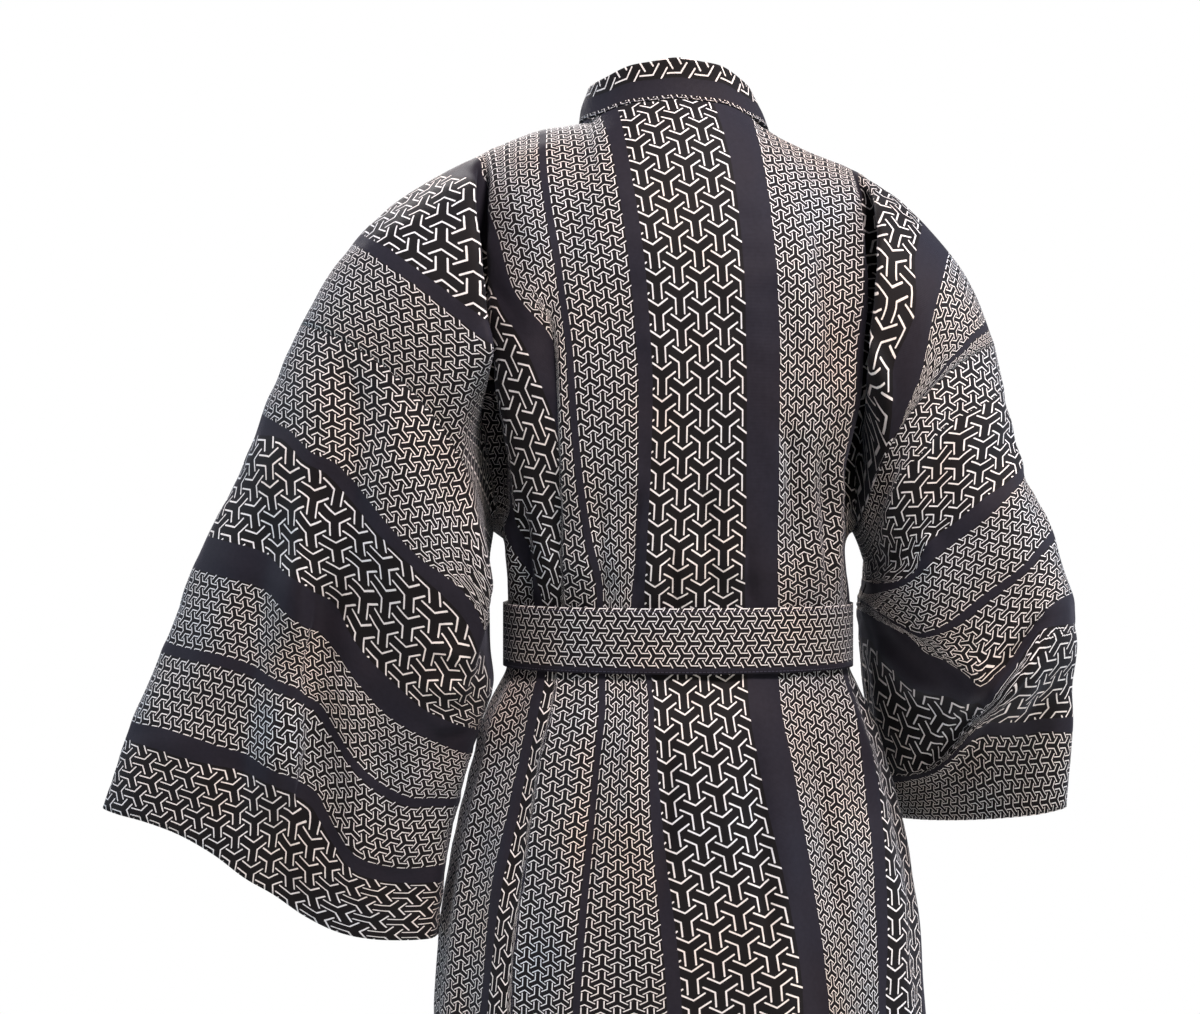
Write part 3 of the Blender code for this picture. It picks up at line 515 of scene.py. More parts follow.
def smooth_between(places, values, wanted):
    """Values on one smooth curve through the given ones, which lie at uneven places."""
    places = np.asarray(places, float)
    values = np.asarray(values, float)
    tail = (1,) * (values.ndim - 1)
    widths = np.maximum(np.diff(places), 1e-6)
    spans = widths.reshape(-1, *tail)
    slopes = np.diff(values, axis=0) / spans
    tangents = np.concatenate((slopes[:1], slopes))
    tangents[1:-1] = (slopes[:-1] * spans[1:] + slopes[1:] * spans[:-1]) / (spans[:-1] + spans[1:])
    i = np.clip(np.searchsorted(places, wanted, side="right") - 1, 0, len(places) - 2)
    t = np.clip((wanted - places[i]) / widths[i], 0, 1).reshape(-1, *tail)
    rest = 1 - t
    curve = values[i] * (1 + 2 * t) * rest**2 + values[i + 1] * t * t * (3 - 2 * t)
    return curve + spans[i] * (tangents[i] * t * rest**2 - tangents[i + 1] * t * t * rest)


def cut_finer(places, cells):
    """Each step between places cut into equal cells."""
    places = np.asarray(places, float)
    steps = np.arange(cells) / cells
    inner = places[:-1, None] + np.diff(places)[:, None] * steps
    return np.concatenate((inner.ravel(), places[-1:]))


NEVER_NOTHING = 1e-5


def fine_cloth(grid, row_places, row_cells, column_cells):
    """A fine grid on the smooth surface through a coarse one."""
    rows = []
    for row in grid:
        along = lengths_along(row, NEVER_NOTHING)
        rows.append(smooth_between(along, row, cut_finer(along, column_cells)))
    return smooth_between(row_places, np.array(rows), cut_finer(row_places, row_cells))


def grid_normals(points):
    """The direction square to a grid's surface at every point."""
    normals = np.cross(np.gradient(points, axis=1), np.gradient(points, axis=0))
    return normals / np.maximum(np.linalg.norm(normals, axis=2, keepdims=True), 1e-12)


CREASE_TAPER = 3.2


def press_creases(points, outward, creases, only=1.0):
    """Soft creases in the view from behind: each has a course, its width on either side and its height."""
    spots = points.reshape(-1, 3)[:, (0, 2)]
    lift = np.zeros(len(spots))
    for course, before, past, height in creases:
        off = signed_distance(spots, course)
        start, end = np.array(course[0]), np.array(course[-1])
        run = end - start
        share = (spots - start) @ run / (run @ run)
        fade = np.clip(np.minimum(share, 1 - share) * CREASE_TAPER, 0, 1)
        wide = np.where(off < 0, before, past)
        lift += height * np.exp(-((off / wide) ** 2)) * fade * fade * (3 - 2 * fade)
    lift = lift.reshape(points.shape[:2]) * only
    return points + outward * lift[:, :, None]


COURSE_CELLS = 3


def signed_distance(spots, course):
    """How far each spot lies past a course, which runs out to in, counted from its upper side."""
    course = np.array(course)
    along = lengths_along(course)
    path = smooth_between(along, course, cut_finer(along, COURSE_CELLS))
    runs = np.diff(path, axis=0)
    heading = runs / np.linalg.norm(runs, axis=1, keepdims=True)
    bends = np.concatenate((heading[:1], heading[1:] + heading[:-1], heading[-1:]))
    best = np.full(len(spots), np.inf)
    side = np.zeros(len(spots))
    for i, run in enumerate(runs):
        off = spots - path[i]
        share = off @ run / (run @ run)
        low = -np.inf if i == 0 else 0.0
        high = np.inf if i == len(runs) - 1 else 1.0
        share = np.clip(share, low, high)
        gap = off - share[:, None] * run
        reach = np.hypot(gap[:, 0], gap[:, 1])
        blend = np.clip(share, 0, 1)[:, None]
        facing = bends[i] * (1 - blend) + bends[i + 1] * blend
        nearer = reach < best
        best = np.where(nearer, reach, best)
        side = np.where(nearer, facing[:, 0] * gap[:, 1] - facing[:, 1] * gap[:, 0], side)
    return best * np.sign(side)


def between_courses(points, courses, turn):
    """The flat measure across the stripes at each point, read between the courses the stripe edges take."""
    spots = points.reshape(-1, 3)[:, (0, 2)]
    measures = np.array([measure for measure, _ in courses])
    offs = np.array([turn * signed_distance(spots, course) for _, course in courses])
    passed = np.clip((offs > 0).sum(axis=0), 1, len(courses) - 1)
    every = np.arange(len(spots))
    before, after = offs[passed - 1, every], offs[passed, every]
    share = before / np.where(np.abs(before - after) < 1e-6, 1e-6, before - after)
    flat = measures[passed - 1] + share * (measures[passed] - measures[passed - 1])
    past_ends = np.where(before < 0, measures[0] + before, measures[-1] + after)
    outside = (before < 0) | (after > 0)
    return np.where(outside, past_ends, flat).reshape(points.shape[:2])


BEFORE, AFTER, EVERY = slice(0, -1), slice(1, None), slice(None)
# A grid cell's corners, in turn, and the three kinds of edge with their two ends.
CORNERS = {"a": (BEFORE, BEFORE), "b": (BEFORE, AFTER), "c": (AFTER, AFTER), "d": (AFTER, BEFORE)}
EDGES = {
    "ab": ("over", "a"), "bc": ("down", "b"), "ca": ("slant", "a"), "cd": ("over", "d"), "da": ("down", "a"),
}
ENDS = {
    "over": ((EVERY, BEFORE), (EVERY, AFTER)),
    "down": ((BEFORE, EVERY), (AFTER, EVERY)),
    "slant": ((BEFORE, BEFORE), (AFTER, AFTER)),
}
PRINT_ROUNDS = 700
TORN_SLOPE = 2.4
TORN_TRUST = 0.02


def lay_evenly(points, across, start):
    """The flat measure along the stripes, as near as it gets to growing evenly at right angles to the measure
    across them. Each cell is two triangles, and the best fit is found by conjugate gradients."""
    shape = points.shape[:2]
    weights = {kind: np.zeros(shape) for kind in ENDS}
    pull = np.zeros(shape)
    agree = 0.0
    for names in ("abc", "acd"):
        p = [points[CORNERS[n]] for n in names]
        u = [across[CORNERS[n]] for n in names]
        sides = [p[2] - p[1], p[0] - p[2], p[1] - p[0]]
        normal = np.cross(sides[2], -sides[1])
        twice = np.maximum(np.linalg.norm(normal, axis=2, keepdims=True), 1e-10)
        normal = normal / twice
        spokes = [np.cross(normal, side) / twice for side in sides]
        slope = sum(u[k][:, :, None] * spokes[k] for k in range(3))
        steep = np.linalg.norm(slope, axis=2, keepdims=True)
        trust = np.where(steep[:, :, 0] > TORN_SLOPE, TORN_TRUST, 1.0)
        target = np.cross(normal, slope) / np.maximum(steep, 1e-6)
        area = twice[:, :, 0] / 2 * trust
        first = sum(start[CORNERS[names[k]]][:, :, None] * spokes[k] for k in range(3))
        agree += (area * (first * target).sum(axis=2)).sum()
        for k in range(3):
            pull[CORNERS[names[k]]] += area * (spokes[k] * target).sum(axis=2)
            i, j = (k + 1) % 3, (k + 2) % 3
            stiff = -area * (spokes[i] * spokes[j]).sum(axis=2)
            pair = names[i] + names[j]
            kind, home = EDGES[pair if pair in EDGES else pair[::-1]]
            weights[kind][CORNERS[home]] += stiff
    ties = [(weights[kind][near], near, far) for kind, (near, far) in ENDS.items()]
    scale = np.zeros(shape)
    for weight, near, far in ties:
        scale[near] += weight
        scale[far] += weight
    scale = np.maximum(scale, 1e-6)
    along = start.astype(float)
    left = pull * np.sign(agree) - pull_between(ties, along)
    step = left / scale
    strength = (left * step).sum()
    direction = step
    for _ in range(PRINT_ROUNDS):
        moved = pull_between(ties, direction)
        share = strength / max((direction * moved).sum(), 1e-30)
        along = along + share * direction
        left = left - share * moved
        step = left / scale
        next_strength = (left * step).sum()
        if next_strength < 1e-12:
            break
        direction = step + direction * next_strength / strength
        strength = next_strength
    return along


def pull_between(ties, field):
    """How strongly a grid's neighbours pull at each other over their ties."""
    result = np.zeros_like(field)
    for weight, near, far in ties:
        change = weight * (field[near] - field[far])
        result[near] += change
        result[far] -= change
    return result


WELD = 0.00001


def sew_cloth(name, points, across, along, welded=False, thick=CLOTH):
    """A sheet of cloth through a fine grid of points; its map holds the flat cloth's place in metres."""
    rows, columns = points.shape[:2]
    bpy.ops.object.select_all(action="DESELECT")
    bpy.ops.mesh.primitive_grid_add(x_subdivisions=columns - 1, y_subdivisions=rows - 1, size=1.0)
    sheet = bpy.context.object
    sheet.name = name
    mesh = sheet.data
    mesh.name = name
    mesh.vertices.foreach_set("co", points.astype(np.float32).ravel())
    corners = np.empty(len(mesh.loops), np.int32)
    mesh.loops.foreach_get("vertex_index", corners)
    mesh.uv_layers[0].name = "cloth"
    flat = np.stack((across.ravel()[corners], along.ravel()[corners]), axis=1)
    mesh.uv_layers["cloth"].uv.foreach_set("vector", flat.astype(np.float32).ravel())
    mesh.update()
    if welded:
        bpy.ops.object.mode_set(mode="EDIT")
        bpy.ops.mesh.select_all(action="SELECT")
        bpy.ops.mesh.remove_doubles(threshold=WELD)
        bpy.ops.object.mode_set(mode="OBJECT")
    wall = sheet.modifiers.new("wall", "SOLIDIFY")
    wall.thickness = thick
    wall.offset = 0.0
    bpy.ops.object.modifier_apply(modifier="wall")
    bpy.ops.object.shade_smooth()
    return sheet


class Number:
    """A number in a material's node tree, used in plain sums and products."""

    def __init__(self, print_, socket):
        self.print = print_
        self.socket = socket

    def maths(self, operation, *others):
        return self.print.node("ShaderNodeMath", {"operation": operation}, self, *others)

    def __add__(self, other):
        return self.maths("ADD", other)

    def __sub__(self, other):
        return self.maths("SUBTRACT", other)

    def __mul__(self, other):
        return self.maths("MULTIPLY", other)

    def __gt__(self, other):
        return self.maths("GREATER_THAN", other)

    def __lt__(self, other):
        return self.maths("LESS_THAN", other)

    def __rsub__(self, other):
        return self.print.node("ShaderNodeMath", {"operation": "SUBTRACT"}, other, self)

    __radd__ = __add__
    __rmul__ = __mul__


class PrintedCotton:
    """A material that draws the printed stripes from the flat cloth's own measure."""

    def __init__(self, name):
        self.material = bpy.data.materials.new(name)
        self.material.use_nodes = True
        self.tree = self.material.node_tree
        self.shader = self.tree.nodes["Principled BSDF"]

    def node(self, kind, settings, *values, out=0):
        """A node with its settings, then its sockets' values or links in turn; None leaves one as it is."""
        node = self.tree.nodes.new(kind)
        for setting, value in settings.items():
            setattr(node, setting, value)
        for index, value in enumerate(values):
            if value is None:
                continue
            if isinstance(value, Number):
                self.tree.links.new(value.socket, node.inputs[index])
            else:
                node.inputs[index].default_value = value
        return Number(self, node.outputs[out])

    def feed(self, name, number):
        self.tree.links.new(number.socket, self.shader.inputs[name])

    def mix(self, share, first, second):
        unused = (None,) * 5
        return self.node("ShaderNodeMix", {"data_type": "RGBA"}, share, *unused, first, second, out=2)


PLAIN, SMALL, BIG = "plain", "small", "big"
REPEAT = {SMALL: 0.0110, BIG: 0.0220}
ARM_HALF = 0.17
ARM_REACH = {90: 0.575, 210: 0.525, 330: 0.525}
LINE_HALF = {SMALL: 0.034, BIG: 0.029}
NAVY = (0.0155, 0.0138, 0.0205, 1.0)
GROUND = (0.0075, 0.0062, 0.0066, 1.0)
PRINT_WHITE = (0.78, 0.76, 0.725, 1.0)
STITCH = (0.060, 0.056, 0.078, 1.0)
# Painted light: warm and cool tints laid over the cloth in random patches, in place of warm and cool
# lamplight.
COOL_PAINTED_LIGHT = (0.90, 0.97, 1.08, 1.0)
WARM_PAINTED_LIGHT = (1.12, 0.98, 0.90, 1.0)
THREADS = 6500.0
WEAVE_STRENGTH, WEAVE_DEPTH = 0.22, 0.00018
# Scale, detail and roughness of the yarn's thick places and of the painted light's warm and cool patches,
# then what they do.
SLUBS = (240.0, 3.0, 0.6)
LIGHT_PATCHES = (9.0, 2.0, 0.5)
SLUB_SHADE, SLUB_LEAST, SLUB_RELIEF = 0.5, 0.75, 2.0
LIGHT_PATCH_CONTRAST = 2.2
INK_RELIEF = 0.5
STITCH_HALF, STITCHES_A_METRE, STITCH_SHARE, STITCH_RELIEF = 0.00035, 310.0, 0.68, 5.0
GROOVE_HALF, GROOVE_RELIEF = 0.0011, 3.0
FINISH = {
    "Roughness": 0.70,
    "Sheen Weight": 0.07,
    "Sheen Roughness": 0.4,
    "Sheen Tint": (0.75, 0.80, 1.0, 1.0),
    "Specular IOR Level": 0.14,
}


def three_armed_lines(across, along, line_half):
    """The mask of the white lines: both sides of each arm of a Y, on a triangular lattice one unit apart."""
    root = math.sqrt(3)
    near_x = across.maths("WRAP", root / 2, -root / 2)
    near_y = along.maths("WRAP", 0.5, -0.5)
    far_x = (across - root / 2).maths("WRAP", root / 2, -root / 2)
    far_y = (along - 0.5).maths("WRAP", 0.5, -0.5)
    nearer = near_x * near_x + near_y * near_y < far_x * far_x + far_y * far_y
    x = far_x + (near_x - far_x) * nearer
    y = far_y + (near_y - far_y) * nearer
    start = ARM_HALF / root
    closest = None
    for turn, arm_reach in ARM_REACH.items():
        dx, dy = math.cos(math.radians(turn)), math.sin(math.radians(turn))
        out = x * dx + y * dy
        aside = (x * dy - y * dx).maths("ABSOLUTE") - ARM_HALF
        for shift in (0.0, 1.0):
            reach = out + shift
            past = (start - reach).maths("MAXIMUM", reach - arm_reach).maths("MAXIMUM", 0.0)
            off = aside * aside + past * past
            closest = off if closest is None else closest.maths("MINIMUM", off)
    return closest.maths("SQRT") < line_half


def dress_in_print(name, bands, down, stitched=()):
    """Cotton printed in bands. Each band has its first edge across the cloth and its kind; down turns the
    print end for end, and a row of stitches runs along the cloth at each stitched place."""
    cotton = PrintedCotton(name)
    place = cotton.node("ShaderNodeUVMap", {"uv_map": "cloth"})
    across = cotton.node("ShaderNodeSeparateXYZ", {}, place)
    along = cotton.node("ShaderNodeSeparateXYZ", {}, place, out=1)
    totals = {"big": 0.0, "small": 0.0, "edge": 0.0}
    sums = {key: across * 0.0 for key in totals}
    for first, kind in bands:
        values = {"big": float(kind == BIG), "small": float(kind == SMALL), "edge": first}
        passed = across > first
        for key, value in values.items():
            change = value - totals[key]
            if change and not (kind == PLAIN and key == "edge"):
                totals[key] = value
                sums[key] = sums[key] + passed * change
    big, small = sums["big"], sums["small"]
    printed = big + small
    per_metre = big * (1 / REPEAT[BIG]) + small * (1 / REPEAT[SMALL])
    lines = three_armed_lines(
        (across - sums["edge"]) * per_metre,
        along * per_metre * (big - small) * down,
        big * LINE_HALF[BIG] + small * LINE_HALF[SMALL],
    )
    ink = lines * printed
    slub = cotton.node("ShaderNodeTexNoise", {}, place, None, *SLUBS)
    light_patches = cotton.node("ShaderNodeTexNoise", {}, place, None, *LIGHT_PATCHES)
    colour = cotton.mix(ink, cotton.mix(printed, NAVY, GROUND), PRINT_WHITE)
    weave = (across * THREADS).maths("SINE") + (along * THREADS).maths("SINE")
    height = weave + slub * SLUB_RELIEF + ink * INK_RELIEF
    for seam in stitched:
        beside = (across - seam).maths("ABSOLUTE")
        stitch = (beside < STITCH_HALF) * ((along * STITCHES_A_METRE).maths("FRACT") < STITCH_SHARE)
        colour = cotton.mix(stitch, colour, STITCH)
        height = height + stitch * STITCH_RELIEF - (beside < GROOVE_HALF) * GROOVE_RELIEF
    # Painted light: the colour is tinted warm and cool in random patches, standing in for warm and cool
    # lamplight.
    painted_light_tint = cotton.mix((light_patches - 0.5) * LIGHT_PATCH_CONTRAST + 0.5, COOL_PAINTED_LIGHT, WARM_PAINTED_LIGHT)
    light_tinted = cotton.node("ShaderNodeVectorMath", {"operation": "MULTIPLY"}, colour, painted_light_tint)
    shade = slub * SLUB_SHADE + SLUB_LEAST
    shaded = cotton.node("ShaderNodeVectorMath", {"operation": "SCALE"}, light_tinted, None, None, shade)
    cotton.feed("Base Color", shaded)
    cotton.feed("Normal", cotton.node("ShaderNodeBump", {}, WEAVE_STRENGTH, WEAVE_DEPTH, None, height))
    for socket, value in FINISH.items():
        cotton.shader.inputs[socket].default_value = value
    return cotton.material


def put_in_place(piece, node, cotton):
    """Gives a finished piece its cloth and puts it in place of its solid."""
    piece.data.materials.clear()
    piece.data.materials.append(cotton)
    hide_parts(node)
    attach(piece, "root")


def hang(piece, node, cotton, flat, **more):
    """Puts a sheet of cloth in place; the size it has when it lies flat is not used."""
    put_in_place(piece, node, cotton)


# Where the print's bands begin across the flat back, from the right sleeve seam to the left one.
BACK_BANDS = (
    (-0.400, SMALL), (-0.3418, PLAIN), (-0.3338, SMALL), (-0.2838, PLAIN), (-0.2538, BIG), (-0.1693, PLAIN),
    (-0.1553, SMALL), (-0.0703, PLAIN), (-0.0423, BIG), (0.0423, PLAIN), (0.0553, SMALL), (0.1053, PLAIN),
    (0.1113, SMALL), (0.1613, PLAIN), (0.1873, BIG), (0.2718, PLAIN), (0.2858, SMALL),
)

# Where the bands lie on the worn back at each drop: the distances out from the middle of the thin stripe, the
# middle band's two plain neighbours and the pleat, then the flat measure on the pleat's two sides and at the
# fold lines beside the arms.
BACK_LAY = Table(
    "drop thin near_left big_left big_right near_right pleat over under fold_left fold_right",
    (0.000, 0.1080, 0.0605, 0.0470, -0.0290, -0.0610, 0.140, 0.142, 0.143, 0.150, -0.140),
    (0.080, 0.1060, 0.0493, 0.0379, -0.0415, -0.0669, 0.134, 0.139, 0.140, 0.154, -0.152),
    (0.185, 0.0935, 0.0380, 0.0261, -0.0498, -0.0746, 0.118, 0.140, 0.141, 0.190, -0.157),
    (0.245, 0.0850, 0.0335, 0.0225, -0.0510, -0.0769, 0.0950, 0.124, 0.160, 0.215, -0.158),
    (0.290, 0.0820, 0.0315, 0.0205, -0.0516, -0.0769, 0.0940, 0.125, 0.178, 0.230, -0.156),
    (0.345, 0.0765, 0.0315, 0.0220, -0.0516, -0.0769, 0.0930, 0.128, 0.203, 0.250, -0.150),
    (0.395, 0.0695, 0.0340, 0.0245, -0.0516, -0.0769, 0.0925, 0.134, 0.222, 0.275, -0.135),
    (0.443, 0.0610, 0.0365, 0.0265, -0.0522, -0.0769, 0.0900, 0.139, 0.240, 0.292, -0.120),
    (0.520, 0.0591, 0.0232, 0.0205, -0.0537, -0.0785, 0.0974, 0.149, 0.256, 0.300, -0.140),
    (0.575, 0.0641, 0.0232, 0.0175, -0.0630, -0.0878, 0.1094, 0.152, 0.251, 0.300, -0.150),
    (0.760, 0.0790, 0.0100, -0.0010, -0.0940, -0.1140, 0.1300, 0.160, 0.235, 0.290, -0.170),
    (COAT_DROP, 0.0850, 0.0050, -0.0060, -0.1000, -0.1230, 0.1350, 0.160, 0.220, 0.280, -0.180),
)
MIDDLE_EDGES = (-0.0703, -0.0423, 0.0423, 0.0553)
THIN_HALF = 0.0025
THIN_STRIPE = (0.1055, 0.1111)
PLEAT_CLEAR, PLEAT_LIP, PLEAT_LEAST = 0.004, 0.0008, 0.002

# The stripe edges' courses over the back where it covers the arms, from the outer edge in: flat measure, then
# places out and down on the worn coat.
BACK_COURSES = {
    LEFT: (
        (0.1613, ((0.175, -0.022), (0.167, -0.031), (0.158, -0.038), (0.144, -0.039))),
        (0.1873, ((0.198, -0.040), (0.188, -0.045), (0.172, -0.053), (0.162, -0.057), (0.150, -0.064))),
        (0.2718, ((0.254, -0.096), (0.240, -0.106), (0.229, -0.112), (0.212, -0.125), (0.196, -0.137),
                  (0.181, -0.148), (0.170, -0.157), (0.158, -0.165), (0.150, -0.171))),
        (0.2858, ((0.262, -0.101), (0.238, -0.119), (0.228, -0.127), (0.212, -0.138), (0.196, -0.150),
                  (0.183, -0.161), (0.170, -0.171), (0.157, -0.182), (0.150, -0.187))),
    ),
    RIGHT: (
        (0.2538, ((-0.208, -0.070), (-0.196, -0.092), (-0.184, -0.122), (-0.182, -0.165), (-0.1795, -0.1735),
                  (-0.171, -0.192), (-0.166, -0.202), (-0.165, -0.232), (-0.163, -0.265), (-0.156, -0.290),
                  (-0.144, -0.359))),
        (0.2838, ((-0.230, -0.095), (-0.214, -0.118), (-0.202, -0.147), (-0.195, -0.1715), (-0.190, -0.1985),
                  (-0.1866, -0.215), (-0.1785, -0.2335), (-0.171, -0.257), (-0.165, -0.280), (-0.158, -0.300),
                  (-0.150, -0.359))),
        (0.3378, ((-0.256, -0.160), (-0.251, -0.169), (-0.229, -0.185), (-0.221, -0.194), (-0.210, -0.203),
                  (-0.198, -0.218))),
    ),
}
SEAM_FLAT = 0.367
BACK_CELLS = (7, 6)
ARM_ROWS_SEEN = (len(ARMHOLE_ROWS) - 1) * BACK_CELLS[0] + 1
BACK_SEAM_STEP = 2 * BACK_CELLS[0]
BEFORE_RIDGE = 2
BLEND_STARTS, BLEND_RUNS = 0.02, 0.03
# The creases pressed into the back. Each has its course out and down on the worn coat, its width before and
# past the course, and its height.
BACK_CREASES = (
    (((0.106, -0.130), (0.097, -0.200), (0.0945, -0.270), (0.093, -0.340), (0.090, -0.420)),
     0.0025, 0.014, 0.0049),
    (((0.030, -0.290), (0.034, -0.340), (0.036, -0.400)), 0.007, 0.006, 0.0061),
    (((0.062, -0.300), (0.060, -0.400)), 0.006, 0.005, 0.0052),
    (((0.006, -0.340), (0.004, -0.400)), 0.005, 0.006, 0.0041),
    (((-0.020, -0.290), (-0.027, -0.400)), 0.007, 0.007, 0.0058),
    (((-0.052, -0.330), (-0.056, -0.400)), 0.006, 0.005, 0.0038),
    (((-0.080, -0.230), (-0.091, -0.320), (-0.097, -0.400)), 0.009, 0.007, 0.0061),
    (((-0.112, -0.250), (-0.119, -0.330), (-0.124, -0.400)), 0.006, 0.006, 0.0058),
    (((0.125, -0.300), (0.118, -0.400)), 0.005, 0.007, 0.0064),
    (((-0.105, -0.060), (-0.118, -0.150), (-0.125, -0.240)), 0.018, 0.010, 0.0061),
    (((-0.070, -0.040), (-0.092, -0.120), (-0.101, -0.200)), 0.012, 0.014, -0.0032),
    (((0.070, -0.060), (0.096, -0.140), (0.108, -0.220)), 0.014, 0.010, 0.0049),
    (((0.030, -0.060), (0.020, -0.140), (0.018, -0.230)), 0.016, 0.016, -0.0023),
    (((0.006, -0.465), (0.010, -0.560), (0.016, -0.640)), 0.008, 0.010, 0.0058),
    (((0.060, -0.465), (0.066, -0.550), (0.072, -0.650)), 0.007, 0.011, 0.0067),
    (((-0.026, -0.465), (-0.032, -0.520), (-0.038, -0.600)), 0.008, 0.008, -0.0038),
    (((-0.052, -0.465), (-0.062, -0.560), (-0.072, -0.680)), 0.010, 0.010, 0.0064),
    (((0.034, -0.465), (0.038, -0.530), (0.044, -0.600)), 0.008, 0.008, -0.0038),
    (((0.112, -0.465), (0.122, -0.560), (0.132, -0.640)), 0.008, 0.010, 0.0064),
    (((-0.100, -0.465), (-0.114, -0.560), (-0.126, -0.660)), 0.009, 0.010, 0.0064),
    (((0.030, -0.700), (0.036, -0.800), (0.040, -0.895)), 0.020, 0.020, 0.0058),
    (((-0.060, -0.690), (-0.076, -0.790), (-0.082, -0.895)), 0.020, 0.018, 0.0064),
    (((0.100, -0.700), (0.112, -0.800), (0.116, -0.895)), 0.018, 0.020, 0.0058),
)

# The cloth's slight unevenness: each wave's turn against the stripes, its length, its height and its start.
WRINKLES = (
    (0.35, 0.046, 0.00055, 0.4),
    (-0.52, 0.071, 0.00075, 1.9),
    (1.25, 0.033, 0.00030, 4.4),
    (-1.05, 0.058, 0.00045, 2.7),
    (0.08, 0.024, 0.00022, 5.6),
)
SWING, SWING_PACE = 0.9, 2.1
PATCH_MEAN, PATCH_SWELL, PATCH_ACROSS, PATCH_ALONG = 0.55, 0.45, 1.3, 0.8
SEAM_CELLS = 14


def soft_wrinkles(points, outward, across, along):
    """The slight unevenness that worn cotton keeps between its larger creases."""
    lift = np.zeros(points.shape[:2])
    for turn, wave, height, start in WRINKLES:
        run = across * math.cos(turn) + along * math.sin(turn)
        drift = across * math.sin(turn) - along * math.cos(turn)
        swing = SWING * np.sin(drift / wave * SWING_PACE + start)
        place = drift / wave * PATCH_ACROSS + run / wave * PATCH_ALONG + start * 2
        patch = PATCH_MEAN + PATCH_SWELL * np.sin(place)
        lift += height * patch * np.sin(run / wave * 2 * math.pi + swing)
    return points + outward * lift[:, :, None]


def free_of_seams(points):
    """One inside a piece, and falling to nothing at its shoulder seam and its two sides."""
    rows, columns = points.shape[:2]
    over = np.minimum(np.arange(columns), columns - 1 - np.arange(columns))
    return np.clip(np.minimum(np.arange(rows)[:, None], over[None, :]) / SEAM_CELLS, 0, 1)[:, :, None]


def below_armhole(drop):
    """Nothing as far down as the armhole reaches, one below it, with a short blend between."""
    return smooth_step((drop - ARMHOLE + BLEND_STARTS) / BLEND_RUNS)


def back_flat(points, drops):
    """The flat cloth's measure across the back at every point."""
    flat = np.empty(points.shape[:2])
    fold = (NECK_CELLS + SHOULDER_CELLS) * BACK_CELLS[1]
    ridge = fold + RIDGE_CELL * BACK_CELLS[1]
    middle = points.shape[1] // 2
    for r, drop in enumerate(drops):
        row = BACK_LAY.row(drop)
        x = points[r, :, 0]
        left_fold, right_fold = x[middle + fold], x[middle - fold]
        places = [right_fold, row["near_right"], row["big_right"], row["big_left"], row["near_left"]]
        flats = [row["fold_right"], *MIDDLE_EDGES]
        places += [row["thin"] - THIN_HALF, row["thin"] + THIN_HALF]
        flats += THIN_STRIPE
        pleat = min(row["pleat"], left_fold - PLEAT_CLEAR)
        places += [pleat - PLEAT_LIP, pleat + PLEAT_LIP, left_fold]
        flats += [row["over"], row["under"], max(row["fold_left"], row["under"] + PLEAT_LEAST)]
        flat[r] = np.interp(x, places, flats)
    for side in (LEFT, RIGHT):
        arm = points[:, middle + side * fold:] if side == LEFT else points[:, middle - fold::-1]
        seam = arm[:ARM_ROWS_SEEN:BACK_SEAM_STEP, -1, (0, 2)]
        read = side * between_courses(arm, BACK_COURSES[side] + ((SEAM_FLAT, seam),), side)
        lengths = lengths_along(arm)
        first = flat[:, middle + side * fold]
        cells = middle + side * np.arange(fold, middle + 1)
        start = ridge - fold - BEFORE_RIDGE
        for r, drop in enumerate(drops):
            seen = read[r]
            seen[:start] = np.interp(lengths[r, :start], (0.0, lengths[r, start]), (first[r], seen[start]))
            below = below_armhole(drop)
            flat[r, cells] = seen * (1 - below) + (first[r] + side * lengths[r]) * below
    return flat


seams = {(side, face): half_ring(side, 0.0, face) for side in (LEFT, RIGHT) for face in ("back", "front")}
coarse = []
for index, drop in enumerate(ALL_ROWS):
    left = back_half_row(LEFT, index, drop, seams[(LEFT, "back")])
    right = back_half_row(RIGHT, index, drop, seams[(RIGHT, "back")])
    coarse.append(np.concatenate((right[::-1], left[1:])))
back_edge_row = coarse[0]
back_points = fine_cloth(np.array(coarse), ALL_ROWS, *BACK_CELLS)
back_drops = cut_finer(ALL_ROWS, BACK_CELLS[0])
back_across = back_flat(back_points, back_drops)
back_along = np.repeat(back_drops[:, None], back_points.shape[1], axis=1)
back_outward = -grid_normals(back_points)
back_points = press_creases(back_points, back_outward, BACK_CREASES)
back_points = soft_wrinkles(back_points, back_outward * free_of_seams(back_points), back_across, back_along)
back_along = lay_evenly(back_points, back_across, back_along)
back = sew_cloth("printed_back", back_points, back_across, back_along)
hang(back, "back", dress_in_print("back_print", BACK_BANDS, 1), (0.74, 0.965))


# The two fronts hang from the same shoulders, one width each of the same printed cotton, cut away in a long V
# from the neck. They are sewn to the back on top and at the sides, and the left one laps over the right one
# under the belt.
FRONT_CELLS = (7, 6)
LAP_LIFT = 0.0060
LAP_OUT, LAP_OUT_BLEND = 0.118, 0.035
LAP_STARTS, LAP_BLEND = 0.11, 0.05
LAP_REACHES_ARM = 0.3

# How far out each front's own edge lies at each drop; past the middle it is below zero.
FRONT_EDGE = Table(
    "drop left right",
    (0.000, NECK_HALF_WIDTH, NECK_HALF_WIDTH),
    (0.020, 0.0765, 0.0765),
    (0.045, 0.073, 0.073),
    (0.075, 0.067, 0.067),
    (0.105, 0.059, 0.059),
    (0.140, 0.049, 0.049),
    (0.175, 0.037, 0.038),
    (0.210, 0.025, 0.028),
    (0.245, 0.013, 0.019),
    (0.280, 0.002, 0.011),
    (0.330, -0.012, 0.002),
    (0.380, -0.025, -0.006),
    (0.450, -0.038, -0.014),
    (0.500, -0.043, -0.018),
    (0.680, -0.055, -0.026),
    (COAT_DROP, -0.066, -0.034),
)


